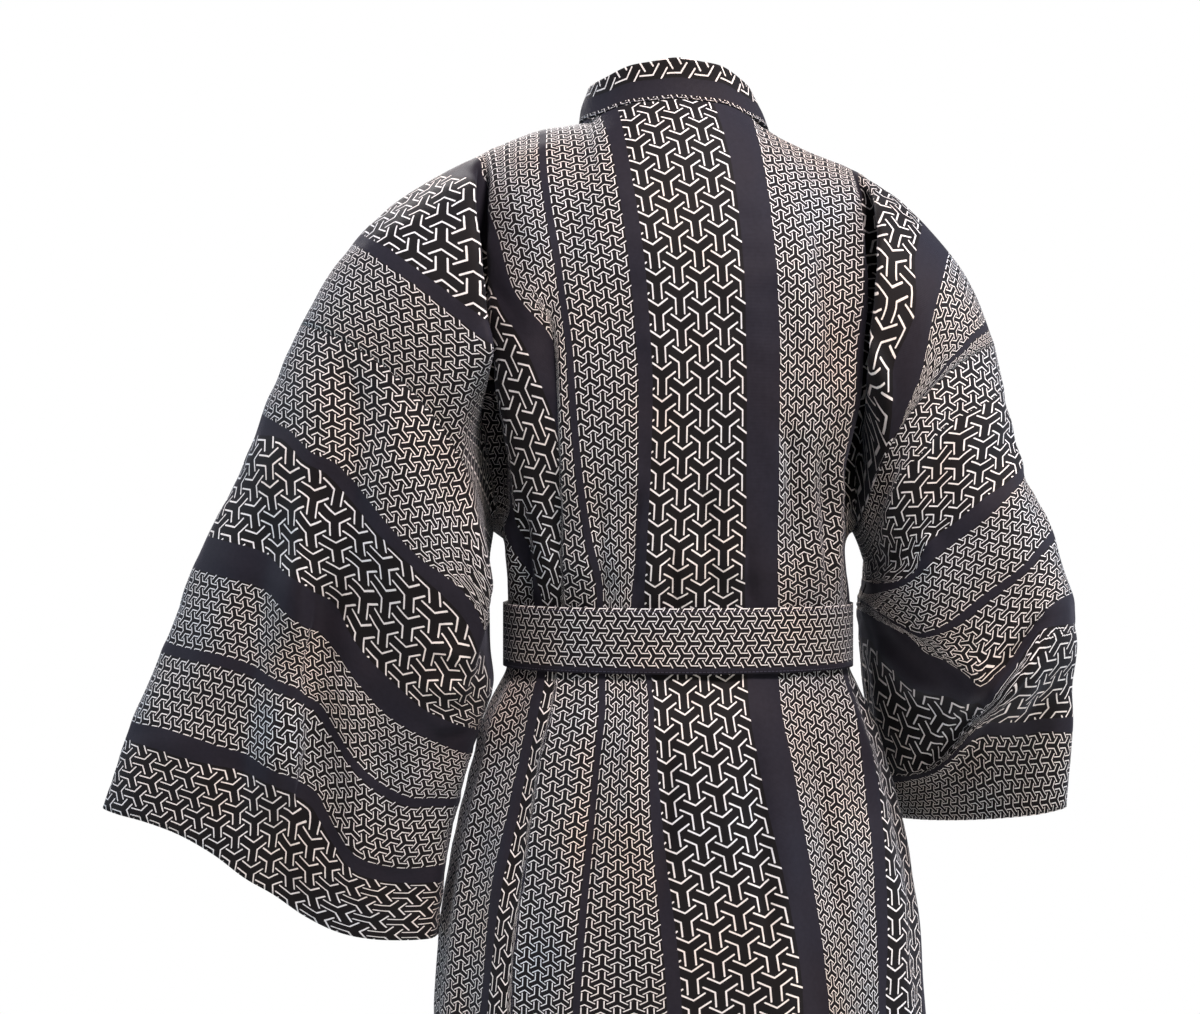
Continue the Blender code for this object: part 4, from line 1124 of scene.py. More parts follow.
def lap_lift(side, out, drop):
    """The left front lies over the right one: how far it stands off where the two lap."""
    if side == RIGHT:
        return 0.0
    aside = smooth_step((LAP_OUT - out) / LAP_OUT_BLEND)
    return LAP_LIFT * aside * smooth_step((drop - LAP_STARTS) / LAP_BLEND)


def front_row(side, index, drop, seam_edge):
    """A row of a front, from its own edge out to the sleeve seam or the side seam."""
    arm = outer_row(side, "front", index, seam_edge)
    edge = FRONT_EDGE.at(drop, SIDE_NAME[side])
    fold_out = abs(arm[0][0] - BODY.at(drop, "shift"))
    row = []
    for step in range(SHOULDER_CELLS):
        out = edge + (fold_out - edge) * step / SHOULDER_CELLS
        row.append(torso_point(side, "front", out, drop, lap_lift(side, out, drop)))
    for point in arm:
        lift = lap_lift(side, abs(point[0]), drop) if drop > LAP_REACHES_ARM else 0.0
        row.append(point - np.array((0.0, lift, 0.0)))
    return np.array(row)


def front_flat(side, points):
    """The flat measure across a front: its stripes come over the shoulder from the back and hang down."""
    fold = SHOULDER_CELLS * FRONT_CELLS[1]
    middle = back_points.shape[1] // 2
    back_fold = (NECK_CELLS + SHOULDER_CELLS) * BACK_CELLS[1]
    shoulder = back_across[0, middle + side * np.arange(back_fold, middle + 1)]
    flat = np.interp(points[:, :, 0], back_points[0, :, 0], back_across[0])
    lengths = lengths_along(points[:, fold:])
    shares = lengths / lengths[:, -1:]
    for r, drop in enumerate(back_drops):
        first = flat[r, fold]
        share = np.interp(shares[r], shares[0], side * (shoulder - shoulder[0]))
        on_arm = first + side * share * (side * SEAM_FLAT - first) / (side * SEAM_FLAT - shoulder[0])
        below = below_armhole(drop)
        flat[r, fold:] = on_arm * (1 - below) + (first + side * lengths[r]) * below
    return flat


fronts = {}
for side, name in ((LEFT, "front_left"), (RIGHT, "front_right")):
    coarse = [front_row(side, i, drop, seams[(side, "front")]) for i, drop in enumerate(ALL_ROWS)]
    fronts[side] = np.array(coarse)
    points = fine_cloth(fronts[side], ALL_ROWS, *FRONT_CELLS)
    along = np.repeat(back_drops[:, None], points.shape[1], axis=1)
    across = front_flat(side, points)
    points = soft_wrinkles(points, side * grid_normals(points) * free_of_seams(points), across, along)
    along = lay_evenly(points, across, along)
    front = sew_cloth(f"printed_{name}", points, across, along)
    hang(front, name, dress_in_print(f"{name}_print", BACK_BANDS, 1), (0.36, 0.965), area=0.29)


# Each sleeve is one width of the same cotton, folded along the top of the arm, sewn to the armhole and closed
# under the arm, and open at the cuff. Its stripes run round the arm. The right one hangs from a bent elbow.
SLEEVE_ROWS = (
    0.0, 0.015, 0.035, 0.06, 0.09, 0.12, 0.155, 0.195, 0.232, 0.265, 0.29, 0.315, 0.35, 0.39, SLEEVE_LENGTH,
)
SLEEVE_BANDS = {
    LEFT: (
        (-0.05, SMALL), (0.0800, PLAIN), (0.0975, BIG), (0.1820, PLAIN), (0.2150, SMALL), (0.2750, PLAIN),
        (0.2830, SMALL), (0.3330, PLAIN), (0.3560, BIG),
    ),
    RIGHT: (
        (-0.05, SMALL), (0.0300, BIG), (0.1145, PLAIN), (0.1335, SMALL), (0.1935, PLAIN), (0.2015, SMALL),
        (0.2515, PLAIN), (0.2845, BIG), (0.3695, PLAIN), (0.3845, SMALL),
    ),
}
SLEEVE_CELLS = (9, 8)

# The stripe edges' courses over each sleeve, from its upper fold in: the flat measure from the armhole seam,
# then places out and down on the worn coat.
SLEEVE_COURSES = {
    LEFT: (
        (0.0800, ((0.326, -0.244), (0.303, -0.257), (0.285, -0.273), (0.267, -0.282), (0.258, -0.294),
                  (0.237, -0.316), (0.218, -0.337), (0.198, -0.3575), (0.181, -0.369), (0.167, -0.381),
                  (0.156, -0.398), (0.150, -0.425))),
        (0.0975, ((0.342, -0.258), (0.310, -0.262), (0.291, -0.279), (0.273, -0.289), (0.258, -0.312),
                  (0.238, -0.332), (0.218, -0.350), (0.198, -0.370), (0.181, -0.386), (0.1685, -0.400),
                  (0.160, -0.417), (0.153, -0.443))),
        (0.1820, ((0.372, -0.340), (0.3475, -0.345), (0.325, -0.352), (0.304, -0.368), (0.287, -0.378),
                  (0.269, -0.391), (0.263, -0.404), (0.254, -0.423), (0.2455, -0.434), (0.231, -0.447),
                  (0.214, -0.462), (0.200, -0.474), (0.183, -0.4825), (0.161, -0.4935))),
        (0.2150, ((0.391, -0.364), (0.363, -0.370), (0.338, -0.376), (0.316, -0.386), (0.299, -0.402),
                  (0.282, -0.411), (0.270, -0.425), (0.258, -0.445), (0.246, -0.462), (0.232, -0.477),
                  (0.215, -0.489), (0.195, -0.4985), (0.179, -0.507), (0.164, -0.515))),
        (0.2790, ((0.419, -0.427), (0.391, -0.4325), (0.365, -0.436), (0.338, -0.444), (0.317, -0.454),
                  (0.300, -0.4635), (0.283, -0.472), (0.2735, -0.4895), (0.262, -0.510), (0.250, -0.526),
                  (0.233, -0.5395), (0.213, -0.548), (0.194, -0.550), (0.1675, -0.553))),
        (0.3330, ((0.444, -0.490), (0.412, -0.492), (0.387, -0.498), (0.362, -0.506), (0.338, -0.513),
                  (0.317, -0.522), (0.302, -0.5305), (0.287, -0.541), (0.278, -0.561), (0.266, -0.580),
                  (0.254, -0.593), (0.237, -0.5995), (0.214, -0.603), (0.195, -0.603), (0.182, -0.6025))),
        (0.3560, ((0.447, -0.5025), (0.418, -0.508), (0.393, -0.5145), (0.368, -0.520), (0.344, -0.525),
                  (0.323, -0.5305), (0.305, -0.541), (0.290, -0.553), (0.281, -0.572), (0.269, -0.5905),
                  (0.257, -0.604), (0.240, -0.6115), (0.2145, -0.615), (0.188, -0.616))),
    ),
    RIGHT: (
        (0.0300, ((-0.258, -0.222), (-0.2445, -0.2325), (-0.224, -0.2425), (-0.210, -0.250),
                  (-0.200, -0.2585), (-0.190, -0.272), (-0.179, -0.285), (-0.1706, -0.306),
                  (-0.1645, -0.334), (-0.160, -0.363))),
        (0.1145, ((-0.275, -0.2775), (-0.265, -0.288), (-0.254, -0.297), (-0.239, -0.3055), (-0.225, -0.316),
                  (-0.211, -0.328), (-0.201, -0.3355), (-0.193, -0.344), (-0.1886, -0.355), (-0.184, -0.366),
                  (-0.173, -0.3735), (-0.160, -0.377))),
        (0.1335, ((-0.280, -0.282), (-0.269, -0.293), (-0.257, -0.304), (-0.239, -0.321), (-0.225, -0.332),
                  (-0.211, -0.3425), (-0.202, -0.351), (-0.1936, -0.360), (-0.187, -0.3676), (-0.176, -0.377),
                  (-0.165, -0.3825), (-0.157, -0.387))),
        (0.1975, ((-0.293, -0.334), (-0.277, -0.349), (-0.267, -0.360), (-0.255, -0.370), (-0.243, -0.379),
                  (-0.2315, -0.388), (-0.220, -0.399), (-0.209, -0.408), (-0.198, -0.414), (-0.186, -0.417),
                  (-0.172, -0.4087), (-0.158, -0.396), (-0.152, -0.3885))),
        (0.2515, ((-0.309, -0.382), (-0.291, -0.386), (-0.279, -0.395), (-0.270, -0.407), (-0.260, -0.421),
                  (-0.2515, -0.4335), (-0.2415, -0.444), (-0.2316, -0.4537), (-0.222, -0.447),
                  (-0.213, -0.442), (-0.2035, -0.437), (-0.194, -0.4326), (-0.181, -0.4187),
                  (-0.170, -0.4105), (-0.158, -0.402), (-0.151, -0.391))),
        (0.2845, ((-0.309, -0.406), (-0.290, -0.4055), (-0.2755, -0.4085), (-0.2665, -0.421),
                  (-0.255, -0.4385), (-0.245, -0.453), (-0.237, -0.4723), (-0.2267, -0.4694),
                  (-0.218, -0.466), (-0.208, -0.464), (-0.197, -0.4595), (-0.186, -0.451),
                  (-0.176, -0.441), (-0.168, -0.432), (-0.161, -0.425), (-0.155, -0.4175))),
    ),
}
# The deep fold under the bent elbow, and the stripe edges that show below it.
ELBOW_FOLD = ((-0.320, -0.400), (-0.308, -0.4065), (-0.2755, -0.4095), (-0.2665, -0.4215), (-0.255, -0.439),
              (-0.245, -0.454), (-0.2374, -0.472), (-0.231, -0.4915), (-0.2205, -0.516), (-0.208, -0.530),
              (-0.187, -0.5395), (-0.170, -0.545))
BELOW_THE_FOLD = (
    (0.3695, ((-0.317, -0.482), (-0.298, -0.483), (-0.284, -0.4845), (-0.269, -0.485), (-0.253, -0.4855),
              (-0.241, -0.488), (-0.232, -0.5), (-0.221, -0.517), (-0.2085, -0.5315), (-0.1875, -0.5405))),
    (0.3845, ((-0.3175, -0.4945), (-0.2955, -0.494), (-0.276, -0.496), (-0.257, -0.4965), (-0.241, -0.4997),
              (-0.2337, -0.5066), (-0.224, -0.522), (-0.214, -0.534), (-0.203, -0.541), (-0.187, -0.549))),
)
# The creases pressed into the sleeves' back halves, then those of the front halves. Each has its course out
# and down on the worn coat, its width before and past the course, and its height.
SLEEVE_CREASES = {
    LEFT: (
        (((0.284, -0.250), (0.286, -0.280), (0.289, -0.320), (0.297, -0.390), (0.306, -0.460),
          (0.314, -0.530), (0.318, -0.620)), 0.017, 0.013, -0.0160),
        (((0.320, -0.290), (0.323, -0.330), (0.330, -0.400), (0.339, -0.470), (0.347, -0.540),
          (0.351, -0.620)), 0.010, 0.020, 0.0046),
        (((0.240, -0.095), (0.252, -0.190), (0.254, -0.270), (0.254, -0.330), (0.258, -0.390)),
         0.030, 0.012, 0.0096),
        (((0.206, -0.150), (0.214, -0.240), (0.214, -0.330)), 0.014, 0.016, -0.0030),
        (((0.178, -0.230), (0.172, -0.310), (0.165, -0.385)), 0.007, 0.018, 0.0058),
        (((0.244, -0.330), (0.240, -0.400), (0.236, -0.480), (0.234, -0.580)), 0.026, 0.020, 0.0076),
        (((0.385, -0.360), (0.402, -0.430), (0.417, -0.500)), 0.016, 0.016, 0.0026),
        (((0.268, -0.470), (0.272, -0.540), (0.276, -0.620)), 0.016, 0.014, 0.0036),
        (((0.205, -0.500), (0.212, -0.560), (0.222, -0.620)), 0.012, 0.014, -0.0036),
        (((0.195, -0.418), (0.180, -0.430), (0.160, -0.436)), 0.006, 0.005, -0.0042),
        (((0.205, -0.452), (0.184, -0.458), (0.160, -0.462)), 0.006, 0.006, -0.0036),
        (((0.200, -0.486), (0.182, -0.487), (0.160, -0.485)), 0.006, 0.006, -0.0030),
    ),
    RIGHT: (
        (((-0.308, -0.400), (-0.272, -0.404), (-0.262, -0.416), (-0.250, -0.434), (-0.240, -0.450),
          (-0.2330, -0.468), (-0.227, -0.487), (-0.2165, -0.511), (-0.204, -0.524), (-0.185, -0.533)),
         0.016, 0.004, 0.0078),
        (((-0.308, -0.412), (-0.282, -0.415), (-0.272, -0.427), (-0.260, -0.445), (-0.250, -0.460),
          (-0.2424, -0.478), (-0.236, -0.498), (-0.2255, -0.522), (-0.212, -0.535), (-0.187, -0.545)),
         0.004, 0.014, -0.0066),
        (((-0.205, -0.205), (-0.186, -0.262), (-0.176, -0.300), (-0.168, -0.365)), 0.011, 0.009, -0.0105),
        (((-0.222, -0.222), (-0.204, -0.275), (-0.192, -0.325)), 0.009, 0.010, 0.0040),
        (((-0.186, -0.330), (-0.196, -0.350), (-0.192, -0.372)), 0.006, 0.006, -0.0040),
        (((-0.262, -0.245), (-0.232, -0.320), (-0.205, -0.385)), 0.016, 0.018, 0.0062),
        (((-0.285, -0.330), (-0.262, -0.375), (-0.240, -0.420)), 0.010, 0.010, 0.0030),
        (((-0.165, -0.396), (-0.190, -0.424), (-0.215, -0.448), (-0.232, -0.462)), 0.010, 0.005, 0.0052),
        (((-0.165, -0.420), (-0.188, -0.446), (-0.212, -0.468)), 0.006, 0.010, -0.0054),
        (((-0.300, -0.430), (-0.290, -0.470), (-0.285, -0.520)), 0.014, 0.014, 0.0028),
    ),
}
SLEEVE_FRONT_CREASES = {
    LEFT: (
        (((0.232, -0.130), (0.214, -0.220), (0.200, -0.310)), 0.018, 0.010, 0.0044),
        (((0.300, -0.250), (0.296, -0.360), (0.302, -0.470)), 0.012, 0.020, -0.0070),
        (((0.372, -0.330), (0.376, -0.430), (0.390, -0.520)), 0.018, 0.012, 0.0036),
        (((0.240, -0.380), (0.232, -0.470), (0.238, -0.570)), 0.012, 0.016, 0.0040),
    ),
    RIGHT: (
        (((-0.232, -0.190), (-0.206, -0.260), (-0.186, -0.330)), 0.010, 0.016, 0.0044),
        (((-0.280, -0.330), (-0.240, -0.385), (-0.200, -0.420)), 0.012, 0.008, 0.0046),
        (((-0.290, -0.420), (-0.250, -0.450), (-0.205, -0.470)), 0.010, 0.014, -0.0046),
    ),
}
FOLD_ROOM = 0.007
SEAM_ROOM = {LEFT: 0.050, RIGHT: 0.022}
HEM_ROOM = 0.03
SEAM_STEP = 13
TOP_COLUMNS = 2
ROUND_THE_ARM = cut_finer(np.concatenate((-np.array(ARMHOLE_ROWS)[::-1], ARMHOLE_ROWS[1:])), SLEEVE_CELLS[1])


def sleeve_flat(side, points, reach):
    """The flat cloth's measure from the armhole seam at every point of a sleeve."""
    top = points.shape[1] // 2
    seam = ((0.0, points[0, top::SEAM_STEP, (0, 2)].T),)
    cuff = ((SLEEVE_LENGTH, points[-1, top::SEAM_STEP, (0, 2)].T),)
    if side == LEFT:
        read = between_courses(points, seam + SLEEVE_COURSES[side] + cuff, side)
    else:
        upper = between_courses(points, seam + SLEEVE_COURSES[side], side)
        lower = between_courses(points, BELOW_THE_FOLD + cuff, side)
        spots = points.reshape(-1, 3)[:, (0, 2)]
        past = (side * signed_distance(spots, ELBOW_FOLD)).reshape(points.shape[:2])
        share = smooth_step(past / FOLD_ROOM)
        read = upper * (1 - share) + lower * share
    along = lengths_along(points)
    front = along[:, : top + 1] / along[:, top : top + 1]
    plain = np.sin(front * HALF_TURN) ** 2
    read[:, : top + 1] = read[:, : top + 1] * (1 - plain) + reach[:, : top + 1] * plain
    return read


# How far the left sleeve's inner edge swings in towards the skirt and back, at each depth below the neck.
INNER_EDGE = Table(
    "below inward backward",
    (0.400, 0.0, 0.0),
    (0.430, 0.0040, 0.006),
    (0.462, 0.0115, 0.016),
    (0.500, 0.0080, 0.017),
    (0.560, 0.0070, 0.017),
    (0.680, 0.0062, 0.015),
)
EDGE_ROLL = 0.045


def swing_inner_edge(points, from_edge):
    """Moves the left sleeve's lowest fold in beside the skirt; the rest of the sleeve follows softly."""
    moved = points.copy()
    for r, row in enumerate(points):
        for c, point in enumerate(row):
            inward, backward = INNER_EDGE.at(-point[2], "inward", "backward")
            share = math.exp(-((from_edge[c] / EDGE_ROLL) ** 2))
            moved[r, c] += (-inward * share, backward * share, 0.0)
    return moved


for side, name in ((LEFT, "sleeve_left"), (RIGHT, "sleeve_right")):
    rings = []
    for along in SLEEVE_ROWS:
        back_half = half_ring(side, along, "back")
        front_half = half_ring(side, along, "front")
        rings.append(np.concatenate((front_half[::-1], back_half[1:])))
    points = fine_cloth(np.array(rings), SLEEVE_ROWS, *SLEEVE_CELLS)
    if side == LEFT:
        points = swing_inner_edge(points, ARMHOLE - np.abs(ROUND_THE_ARM))
    reach = np.repeat(cut_finer(SLEEVE_ROWS, SLEEVE_CELLS[0])[:, None], points.shape[1], axis=1)
    across = sleeve_flat(side, points, reach)
    on_back = (np.arange(points.shape[1]) > points.shape[1] // 2 + TOP_COLUMNS).astype(float)
    outward = side * grid_normals(points)
    past_seam = smooth_step(reach / SEAM_ROOM[side])
    points = press_creases(points, outward, SLEEVE_CREASES[side], on_back * past_seam)
    points = press_creases(points, outward, SLEEVE_FRONT_CREASES[side], (1 - on_back) * past_seam)
    along = np.repeat(ROUND_THE_ARM[None, :], len(points), axis=0)
    free = np.clip(np.minimum(reach, SLEEVE_LENGTH - reach) / HEM_ROOM, 0, 1)[:, :, None]
    points = soft_wrinkles(points, outward * free, across, along)
    along = lay_evenly(points, across, along)
    sleeve = sew_cloth(f"printed_{name}", points, across, along, welded=True)
    cotton = dress_in_print(f"{name}_print", SLEEVE_BANDS[side], -1)
    hang(sleeve, name, cotton, (0.76, 0.44), area=0.334 if side == LEFT else 0.25)


# The collar is a doubled band of the same cotton, sewn round the neck, where it stands, and down both fronts,
# where it lies flat.
BAND = 0.0022
COLLAR_WIDTH = 0.045
COLLAR_STAND = 0.033
COLLAR_LEAN = {LEFT: 0.007, RIGHT: 0.013}
COLLAR_TURNS, COLLAR_TURN_RUNS = 0.01, 0.15
COLLAR_BACKWARD, COLLAR_UPRIGHT = 0.004, 0.84
COLLAR_BULGE, COLLAR_ROLL = 0.0015, 0.0025
NAPE_BACKWARD, NAPE_RISE, NAPE_SLOPE, NAPE_DEPTH = 0.002, 1.02, 0.14, 0.05
COLLAR_CELLS = (6, 8)
COLLAR_STITCHES = (0.0016,)
COLLAR_BANDS = ((-0.01, SMALL), (0.0035, PLAIN), (0.0180, BIG))


def lying_point(side, drop, out):
    """Where the collar lies flat on its front at a distance out from the middle."""
    return torso_point(side, "front", out, drop, lap_lift(side, out, drop))


rows = []
for side in (RIGHT, LEFT):
    stretch = []
    for index, drop in enumerate(ALL_ROWS):
        seam = fronts[side][index, 0]
        edge = FRONT_EDGE.at(drop, SIDE_NAME[side])
        lying = smooth_step((drop - COLLAR_TURNS) / COLLAR_TURN_RUNS)
        width = COLLAR_STAND + (COLLAR_WIDTH - COLLAR_STAND) * lying
        flat = lying_point(side, drop, edge - width)
        standing = seam + np.array((-side * COLLAR_LEAN[side], -COLLAR_BACKWARD, width * COLLAR_UPRIGHT))
        free = standing + (flat - standing) * lying
        middle = (seam + free) / 2
        roll = COLLAR_ROLL * math.sin(HALF_TURN * lying)
        bulge = np.array((side * COLLAR_BULGE * (1 - lying), -roll, 0.0))
        middle = middle + bulge + (lying_point(side, drop, edge - width / 2) - middle) * lying
        stretch.append((seam, middle, free))
    rows.append(stretch)
centre = len(back_edge_row) // 2
neck = []
for c in range(centre - NECK_CELLS + 1, centre + NECK_CELLS):
    seam = back_edge_row[c]
    out = abs(seam[0]) / NECK_HALF_WIDTH
    lean = COLLAR_LEAN[LEFT if seam[0] > 0 else RIGHT] * out * out
    rise = COLLAR_STAND * (NAPE_RISE - NAPE_SLOPE * out)
    free = seam + np.array((-lean * math.copysign(1, seam[0]), -NAPE_BACKWARD, rise))
    outward = np.array((seam[0], NAPE_DEPTH, 0.0))
    middle = (seam + free) / 2 - outward / np.linalg.norm(outward) * COLLAR_BULGE
    neck.append((seam, middle, free))
band = np.array(rows[0][::-1] + neck + rows[1])
run = lengths_along(band[:, 1])
points = fine_cloth(band, run, *COLLAR_CELLS)
widths = np.linalg.norm(points - points[:, :1], axis=2)
along = np.repeat(cut_finer(run, COLLAR_CELLS[0])[:, None], points.shape[1], axis=1)
collar = sew_cloth("printed_collar", points, widths, along, thick=BAND)
hang(collar, "collar", dress_in_print("collar_print", COLLAR_BANDS, 1, COLLAR_STITCHES), (0.045, 2.17))


# The belt is a doubled band of the same cotton, cut along the stripes, with a plain lower edge and a row of
# stitches along both edges. It goes round the waist and is tied in front in a flat knot with two ends.
BELT_LIFT_BACK = 0.0034
BELT_LIFT_FRONT = 0.0096
BELT_DROPS = (0.449, 0.475, 0.501)
BELT_WIDTH = 0.052
BELT_CELLS = 44
BELT_FINE = (8, 6)
LAP_ANGLE, LAP_ANGLE_RUNS = 95, 30
BELT_BANDS = ((-0.01, PLAIN), (0.0058, SMALL))
BELT_STITCHES = (0.0026, 0.0494)
ring_rows = []
for drop in BELT_DROPS:
    ring = []
    for step in range(BELT_CELLS + 1):
        angle = 180 + 360 * step / BELT_CELLS
        over = smooth_step((abs((angle + 180) % 360 - 180) - LAP_ANGLE) / LAP_ANGLE_RUNS)
        lift = BELT_LIFT_BACK + (BELT_LIFT_FRONT - BELT_LIFT_BACK) * over
        ring.append(body_point(angle, drop, lift))
    ring_rows.append(ring)
points = fine_cloth(np.array(ring_rows), BELT_DROPS, *BELT_FINE)
heights = BELT_WIDTH - np.linalg.norm(points - points[:1], axis=2)
lengths = lengths_along(points[BELT_FINE[0]])
along = np.repeat(lengths[None, :], len(points), axis=0)
belt = sew_cloth("printed_belt", points, heights, along, welded=True, thick=BAND)
hang(belt, "belt", dress_in_print("belt_print", BELT_BANDS, 1, BELT_STITCHES), (0.052, 0.79))


# The belt's two ends hang from under the knot, the same doubled band, cut square below. They come out of the
# knot narrow, open to nearly the belt's whole width and lie on the fronts.
BELT_END_CELLS = 10
BELT_END_FINE = (6, 5)
BELT_END_WIDTH = 0.046
BELT_END_OFFSETS = (-0.5, -0.17, 0.17, 0.5)
BELT_END_PLACES = (0.0, 0.0173, 0.0347, BELT_WIDTH)
BOW, BOW_TURNS = 0.0015, 7

# Each end by the share of its length: the drop, how far left of the middle it lies, its width and how far it
# stands off the body.
BELT_END = {
    LEFT: Table(
        "share drop out width lift",
        (0.00, 0.499, 0.0135, 0.024, 0.0122),
        (0.08, 0.515, 0.0165, 0.030, 0.0130),
        (0.25, 0.545, 0.0250, 0.042, 0.0130),
        (0.60, 0.630, 0.0340, BELT_END_WIDTH, 0.0140),
        (1.00, 0.725, 0.0430, BELT_END_WIDTH, 0.0160),
    ),
    RIGHT: Table(
        "share drop out width lift",
        (0.00, 0.499, -0.0135, 0.024, 0.0122),
        (0.08, 0.515, -0.0165, 0.030, 0.0130),
        (0.25, 0.542, -0.0240, 0.042, 0.0135),
        (0.60, 0.620, -0.0270, BELT_END_WIDTH, 0.0150),
        (1.00, 0.700, -0.0310, BELT_END_WIDTH, 0.0170),
    ),
}


for side, name in ((LEFT, "belt_end_left"), (RIGHT, "belt_end_right")):
    rows = []
    for step in range(BELT_END_CELLS + 1):
        share = step / BELT_END_CELLS
        drop, out, width, lift = BELT_END[side].at(share, "drop", "out", "width", "lift")
        lift += BOW * math.sin(share * BOW_TURNS)
        rows.append([torso_point(LEFT, "front", out + width * off, drop, lift) for off in BELT_END_OFFSETS])
    rows = np.array(rows)
    run = lengths_along(rows[:, 1])
    points = fine_cloth(rows, run, *BELT_END_FINE)
    across = np.repeat(cut_finer(BELT_END_PLACES, BELT_END_FINE[1])[None, :], len(points), axis=0)
    along = np.repeat(cut_finer(run, BELT_END_FINE[0])[:, None], points.shape[1], axis=1)
    end = sew_cloth(f"printed_{name}", points, across, along, thick=BAND)
    cotton = dress_in_print(f"{name}_print", BELT_BANDS, 1, BELT_STITCHES)
    hang(end, name, cotton, (0.052, 0.26 if side == LEFT else 0.21))


# The knot is the same doubled band, folded narrow and wrapped once over the belt. A slanting wrap lies on
# top, and the two ends' first turns bulge out beside it, above and below.
KNOT_SIZE = (0.066, 0.024, 0.052)
KNOT_PLACE = (0.0, -0.1201, -0.421)
KNOT_SQUARE = 3.2
KNOT_NARROWS, KNOT_SHORTENS = 0.16, 0.14
KNOT_CUTS = 79
KNOT_UV = (0.031, 1.0)
FACING_STARTS, FACING_RUNS = 0.1, 0.6
WRAP_TURN = math.radians(28)
WRAP_HALF, WRAP_SPREADS, WRAP_STEP = 0.0155, 8.0, 0.0011
WRAP_FOLD_SPREADS, WRAP_FOLD_WAVE, WRAP_FOLD_WAVES = 10.0, 0.0010, 150
HOLLOW_AT, HOLLOW_WIDE, HOLLOW_DEEP = 0.0016, 0.0022, 0.0016
TURN_DEEP, TURN_EDGE, TURN_SLOPE, TURN_RUNS = 0.0078, 0.55, 0.45, 0.014
TURN_SHORT = 0.20
TURN_FOLD_SPREADS = 6.0
# The folds in the wrap and in the turns: how far each lies from the wrap's middle, its width and its depth.
FOLDS_IN_WRAP = ((-0.0066, 0.0021, 0.0017), (0.0050, 0.0024, 0.0019))
FOLDS_IN_TURNS = ((0.0235, 0.0024, 0.0018), (-0.0240, 0.0026, 0.0018))


def knot_depth(across, down):
    """How far the knot's front sinks at a place: its wrap stands out and the turns beside it lie deeper.
    Then the place across and along the wrap, and how far it is past the wrap's edge, from nothing to one."""
    over = across * math.cos(WRAP_TURN) + down * math.sin(WRAP_TURN)
    run = -across * math.sin(WRAP_TURN) + down * math.cos(WRAP_TURN)
    half = WRAP_HALF * (1 + WRAP_SPREADS * abs(run))
    beyond = abs(over) - half
    past = smooth_step(beyond / WRAP_STEP)
    hollow = math.exp(-(((beyond - HOLLOW_AT) / HOLLOW_WIDE) ** 2)) * HOLLOW_DEEP * past
    sunk = TURN_DEEP * past * (TURN_EDGE + TURN_SLOPE * smooth_step(beyond / TURN_RUNS)) + hollow
    for place, wide, deep in FOLDS_IN_WRAP:
        bent = place * (1 + WRAP_FOLD_SPREADS * abs(run)) + WRAP_FOLD_WAVE * math.sin(run * WRAP_FOLD_WAVES)
        sunk += deep * math.exp(-(((over - bent) / wide) ** 2)) * (1 - past)
    for place, wide, deep in FOLDS_IN_TURNS:
        bent = place * (1 - TURN_FOLD_SPREADS * run * math.copysign(1, place))
        sunk += deep * math.exp(-(((over - bent) / wide) ** 2)) * past
    return sunk, over + half, run, past


bpy.ops.object.select_all(action="DESELECT")
bpy.ops.mesh.primitive_cube_add(size=2.0)
knot = bpy.context.object
knot.name = "printed_belt_knot"
bpy.ops.object.mode_set(mode="EDIT")
bpy.ops.mesh.select_all(action="SELECT")
bpy.ops.mesh.subdivide(number_cuts=KNOT_CUTS)
bpy.ops.object.mode_set(mode="OBJECT")
flat = []
for vert in knot.data.vertices:
    a, b, c = vert.co
    size = (abs(a) ** KNOT_SQUARE + abs(b) ** KNOT_SQUARE + abs(c) ** KNOT_SQUARE) ** (1 / KNOT_SQUARE)
    a, b, c = a / size, b / size, c / size
    x = a * KNOT_SIZE[0] / 2 * (1 - KNOT_NARROWS * c * c)
    z = c * KNOT_SIZE[2] / 2 * (1 - KNOT_SHORTENS * a * a)
    sunk, over, run, past = knot_depth(x, z)
    facing = smooth_step((-b - FACING_STARTS) / FACING_RUNS)
    y = b * KNOT_SIZE[1] / 2 + sunk * facing
    vert.co = (KNOT_PLACE[0] + x, KNOT_PLACE[1] + y, KNOT_PLACE[2] + z * (1 - TURN_SHORT * past))
    flat.append((over * (1 - past) + (z + KNOT_UV[0]) * past, KNOT_UV[1] + run * (1 - past) + x * past))
corners = np.empty(len(knot.data.loops), np.int32)
knot.data.loops.foreach_get("vertex_index", corners)
flat = np.array(flat)[corners]
knot.data.uv_layers[0].name = "cloth"
knot.data.uv_layers["cloth"].uv.foreach_set("vector", flat.astype(np.float32).ravel())
bpy.ops.object.shade_smooth()
put_in_place(knot, "belt_knot", dress_in_print("belt_knot_print", BELT_BANDS, 1, BELT_STITCHES[:1]))


# A plain pale floor lies below the hem, and five square lamps round the coat give the soft light of a
# studio. They are not part of the coat.
FLOOR_SIZE, FLOOR_PLACE = 2.6, (0.0, 0.0, -1.45)
PAPER = (0.86, 0.86, 0.85, 1.0)
ROOM_COLOUR, ROOM_LIGHT = (0.86, 0.92, 1.0, 1.0), 0.15
bpy.ops.object.select_all(action="DESELECT")
bpy.ops.mesh.primitive_plane_add(size=FLOOR_SIZE, location=FLOOR_PLACE)
floor = bpy.context.object
floor.name = "studio_floor"
paper = bpy.data.materials.new("studio_paper")
paper.use_nodes = True
paper.node_tree.nodes["Principled BSDF"].inputs["Base Color"].default_value = PAPER
paper.node_tree.nodes["Principled BSDF"].inputs["Roughness"].default_value = 0.9
floor.data.materials.append(paper)

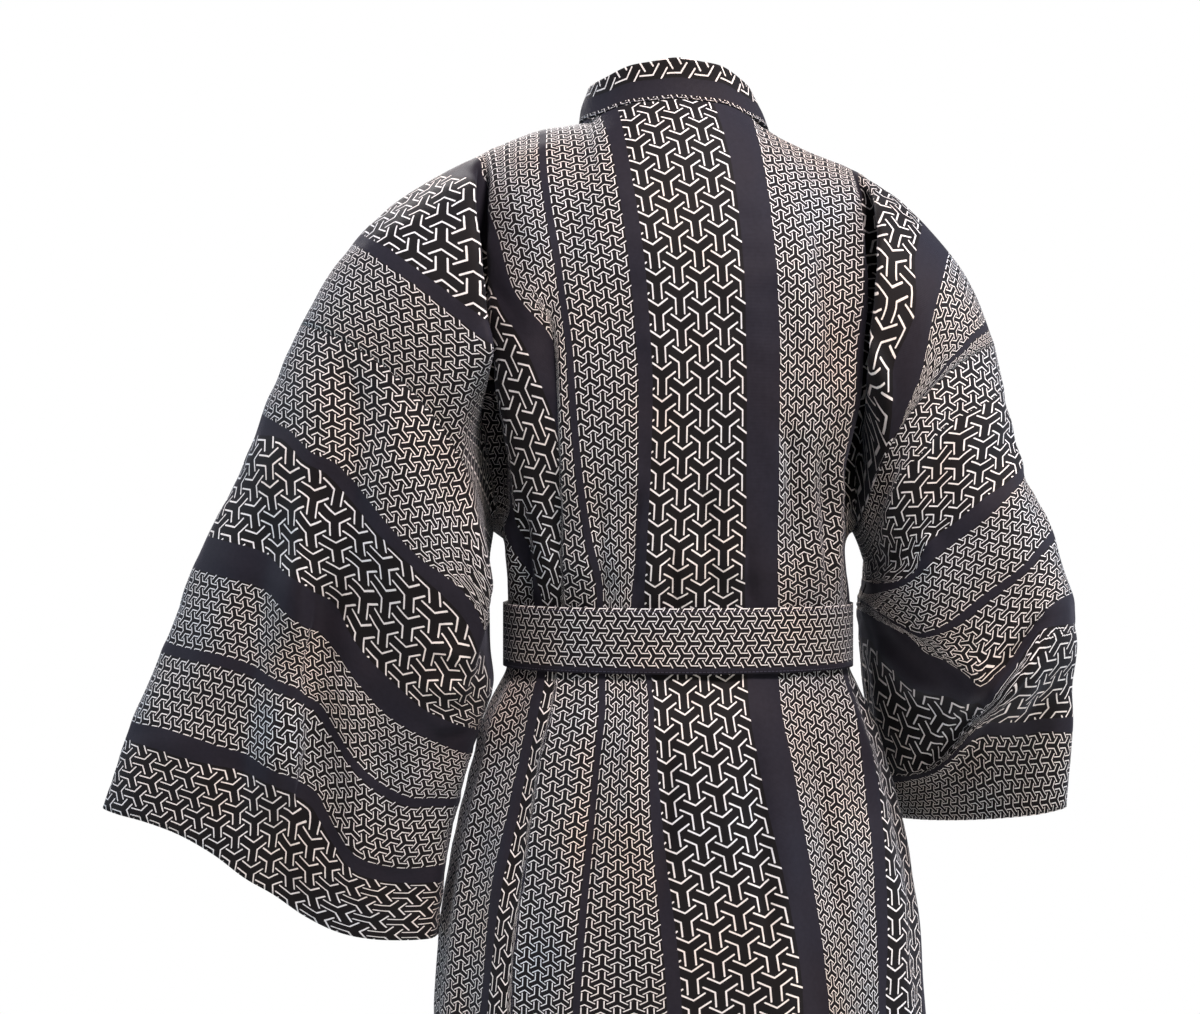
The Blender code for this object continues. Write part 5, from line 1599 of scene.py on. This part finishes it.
world = bpy.data.worlds.new("studio")
bpy.context.scene.world = world
world.use_nodes = True
room = world.node_tree
backdrop = room.nodes["Background"]
backdrop.inputs["Color"].default_value = (1.0, 1.0, 1.0, 1.0)
backdrop.inputs["Strength"].default_value = 1.0
dim_room = room.nodes.new("ShaderNodeBackground")
dim_room.inputs["Color"].default_value = ROOM_COLOUR
dim_room.inputs["Strength"].default_value = ROOM_LIGHT
seen_or_lit = room.nodes.new("ShaderNodeMixShader")
rays = room.nodes.new("ShaderNodeLightPath")
room.links.new(rays.outputs["Is Camera Ray"], seen_or_lit.inputs[0])
room.links.new(dim_room.outputs[0], seen_or_lit.inputs[1])
room.links.new(backdrop.outputs[0], seen_or_lit.inputs[2])
room.links.new(seen_or_lit.outputs[0], room.nodes["World Output"].inputs["Surface"])


def studio_light(name, place, aim, size, power, colour):
    """A square soft light of a size in metres and a power in watts, turned to its aim."""
    lamp = bpy.data.lights.new(name, "AREA")
    lamp.size = size
    lamp.energy = power
    lamp.color = colour
    item = bpy.data.objects.new(name, lamp)
    bpy.context.scene.collection.objects.link(item)
    item.location = place
    item.rotation_euler = (Vector(aim) - Vector(place)).to_track_quat("-Z", "Y").to_euler()


studio_light("light_above", (-0.55, 1.30, 1.60), (0.0, 0.0, -0.4), 0.5, 88.0, (1.0, 0.88, 0.86))
studio_light("light_left", (2.1, 0.25, 0.3), (0.1, 0.0, -0.4), 0.7, 26.0, (0.72, 0.86, 1.0))
studio_light("light_right", (-2.1, 0.20, 0.5), (-0.1, 0.0, -0.4), 0.7, 36.0, (0.72, 0.86, 1.0))
studio_light("light_low", (-0.9, 1.7, -1.0), (-0.1, 0.0, -0.4), 1.0, 7.0, (1.0, 0.95, 0.80))
studio_light("light_front", (0.5, -1.7, 1.2), (0.0, 0.0, -0.4), 0.8, 50.0, (1.0, 0.95, 0.92))

bpy.context.scene.view_settings.view_transform = "Standard"


# The camera stands level behind the coat, a little over one and a half metres from its neck, and looks
# straight at its back.
VIEW_FROM = (0.061, 1.62, -0.3155)
LENS, SENSOR = 58.86, 36.0
lens = bpy.data.cameras.new("camera")
lens.lens = LENS
lens.sensor_width = SENSOR
camera = bpy.data.objects.new("camera", lens)
bpy.context.scene.collection.objects.link(camera)
camera.location = VIEW_FROM
camera.rotation_euler = (math.radians(90), 0.0, math.radians(180))
bpy.context.scene.camera = camera

bpy.context.view_layer.update()
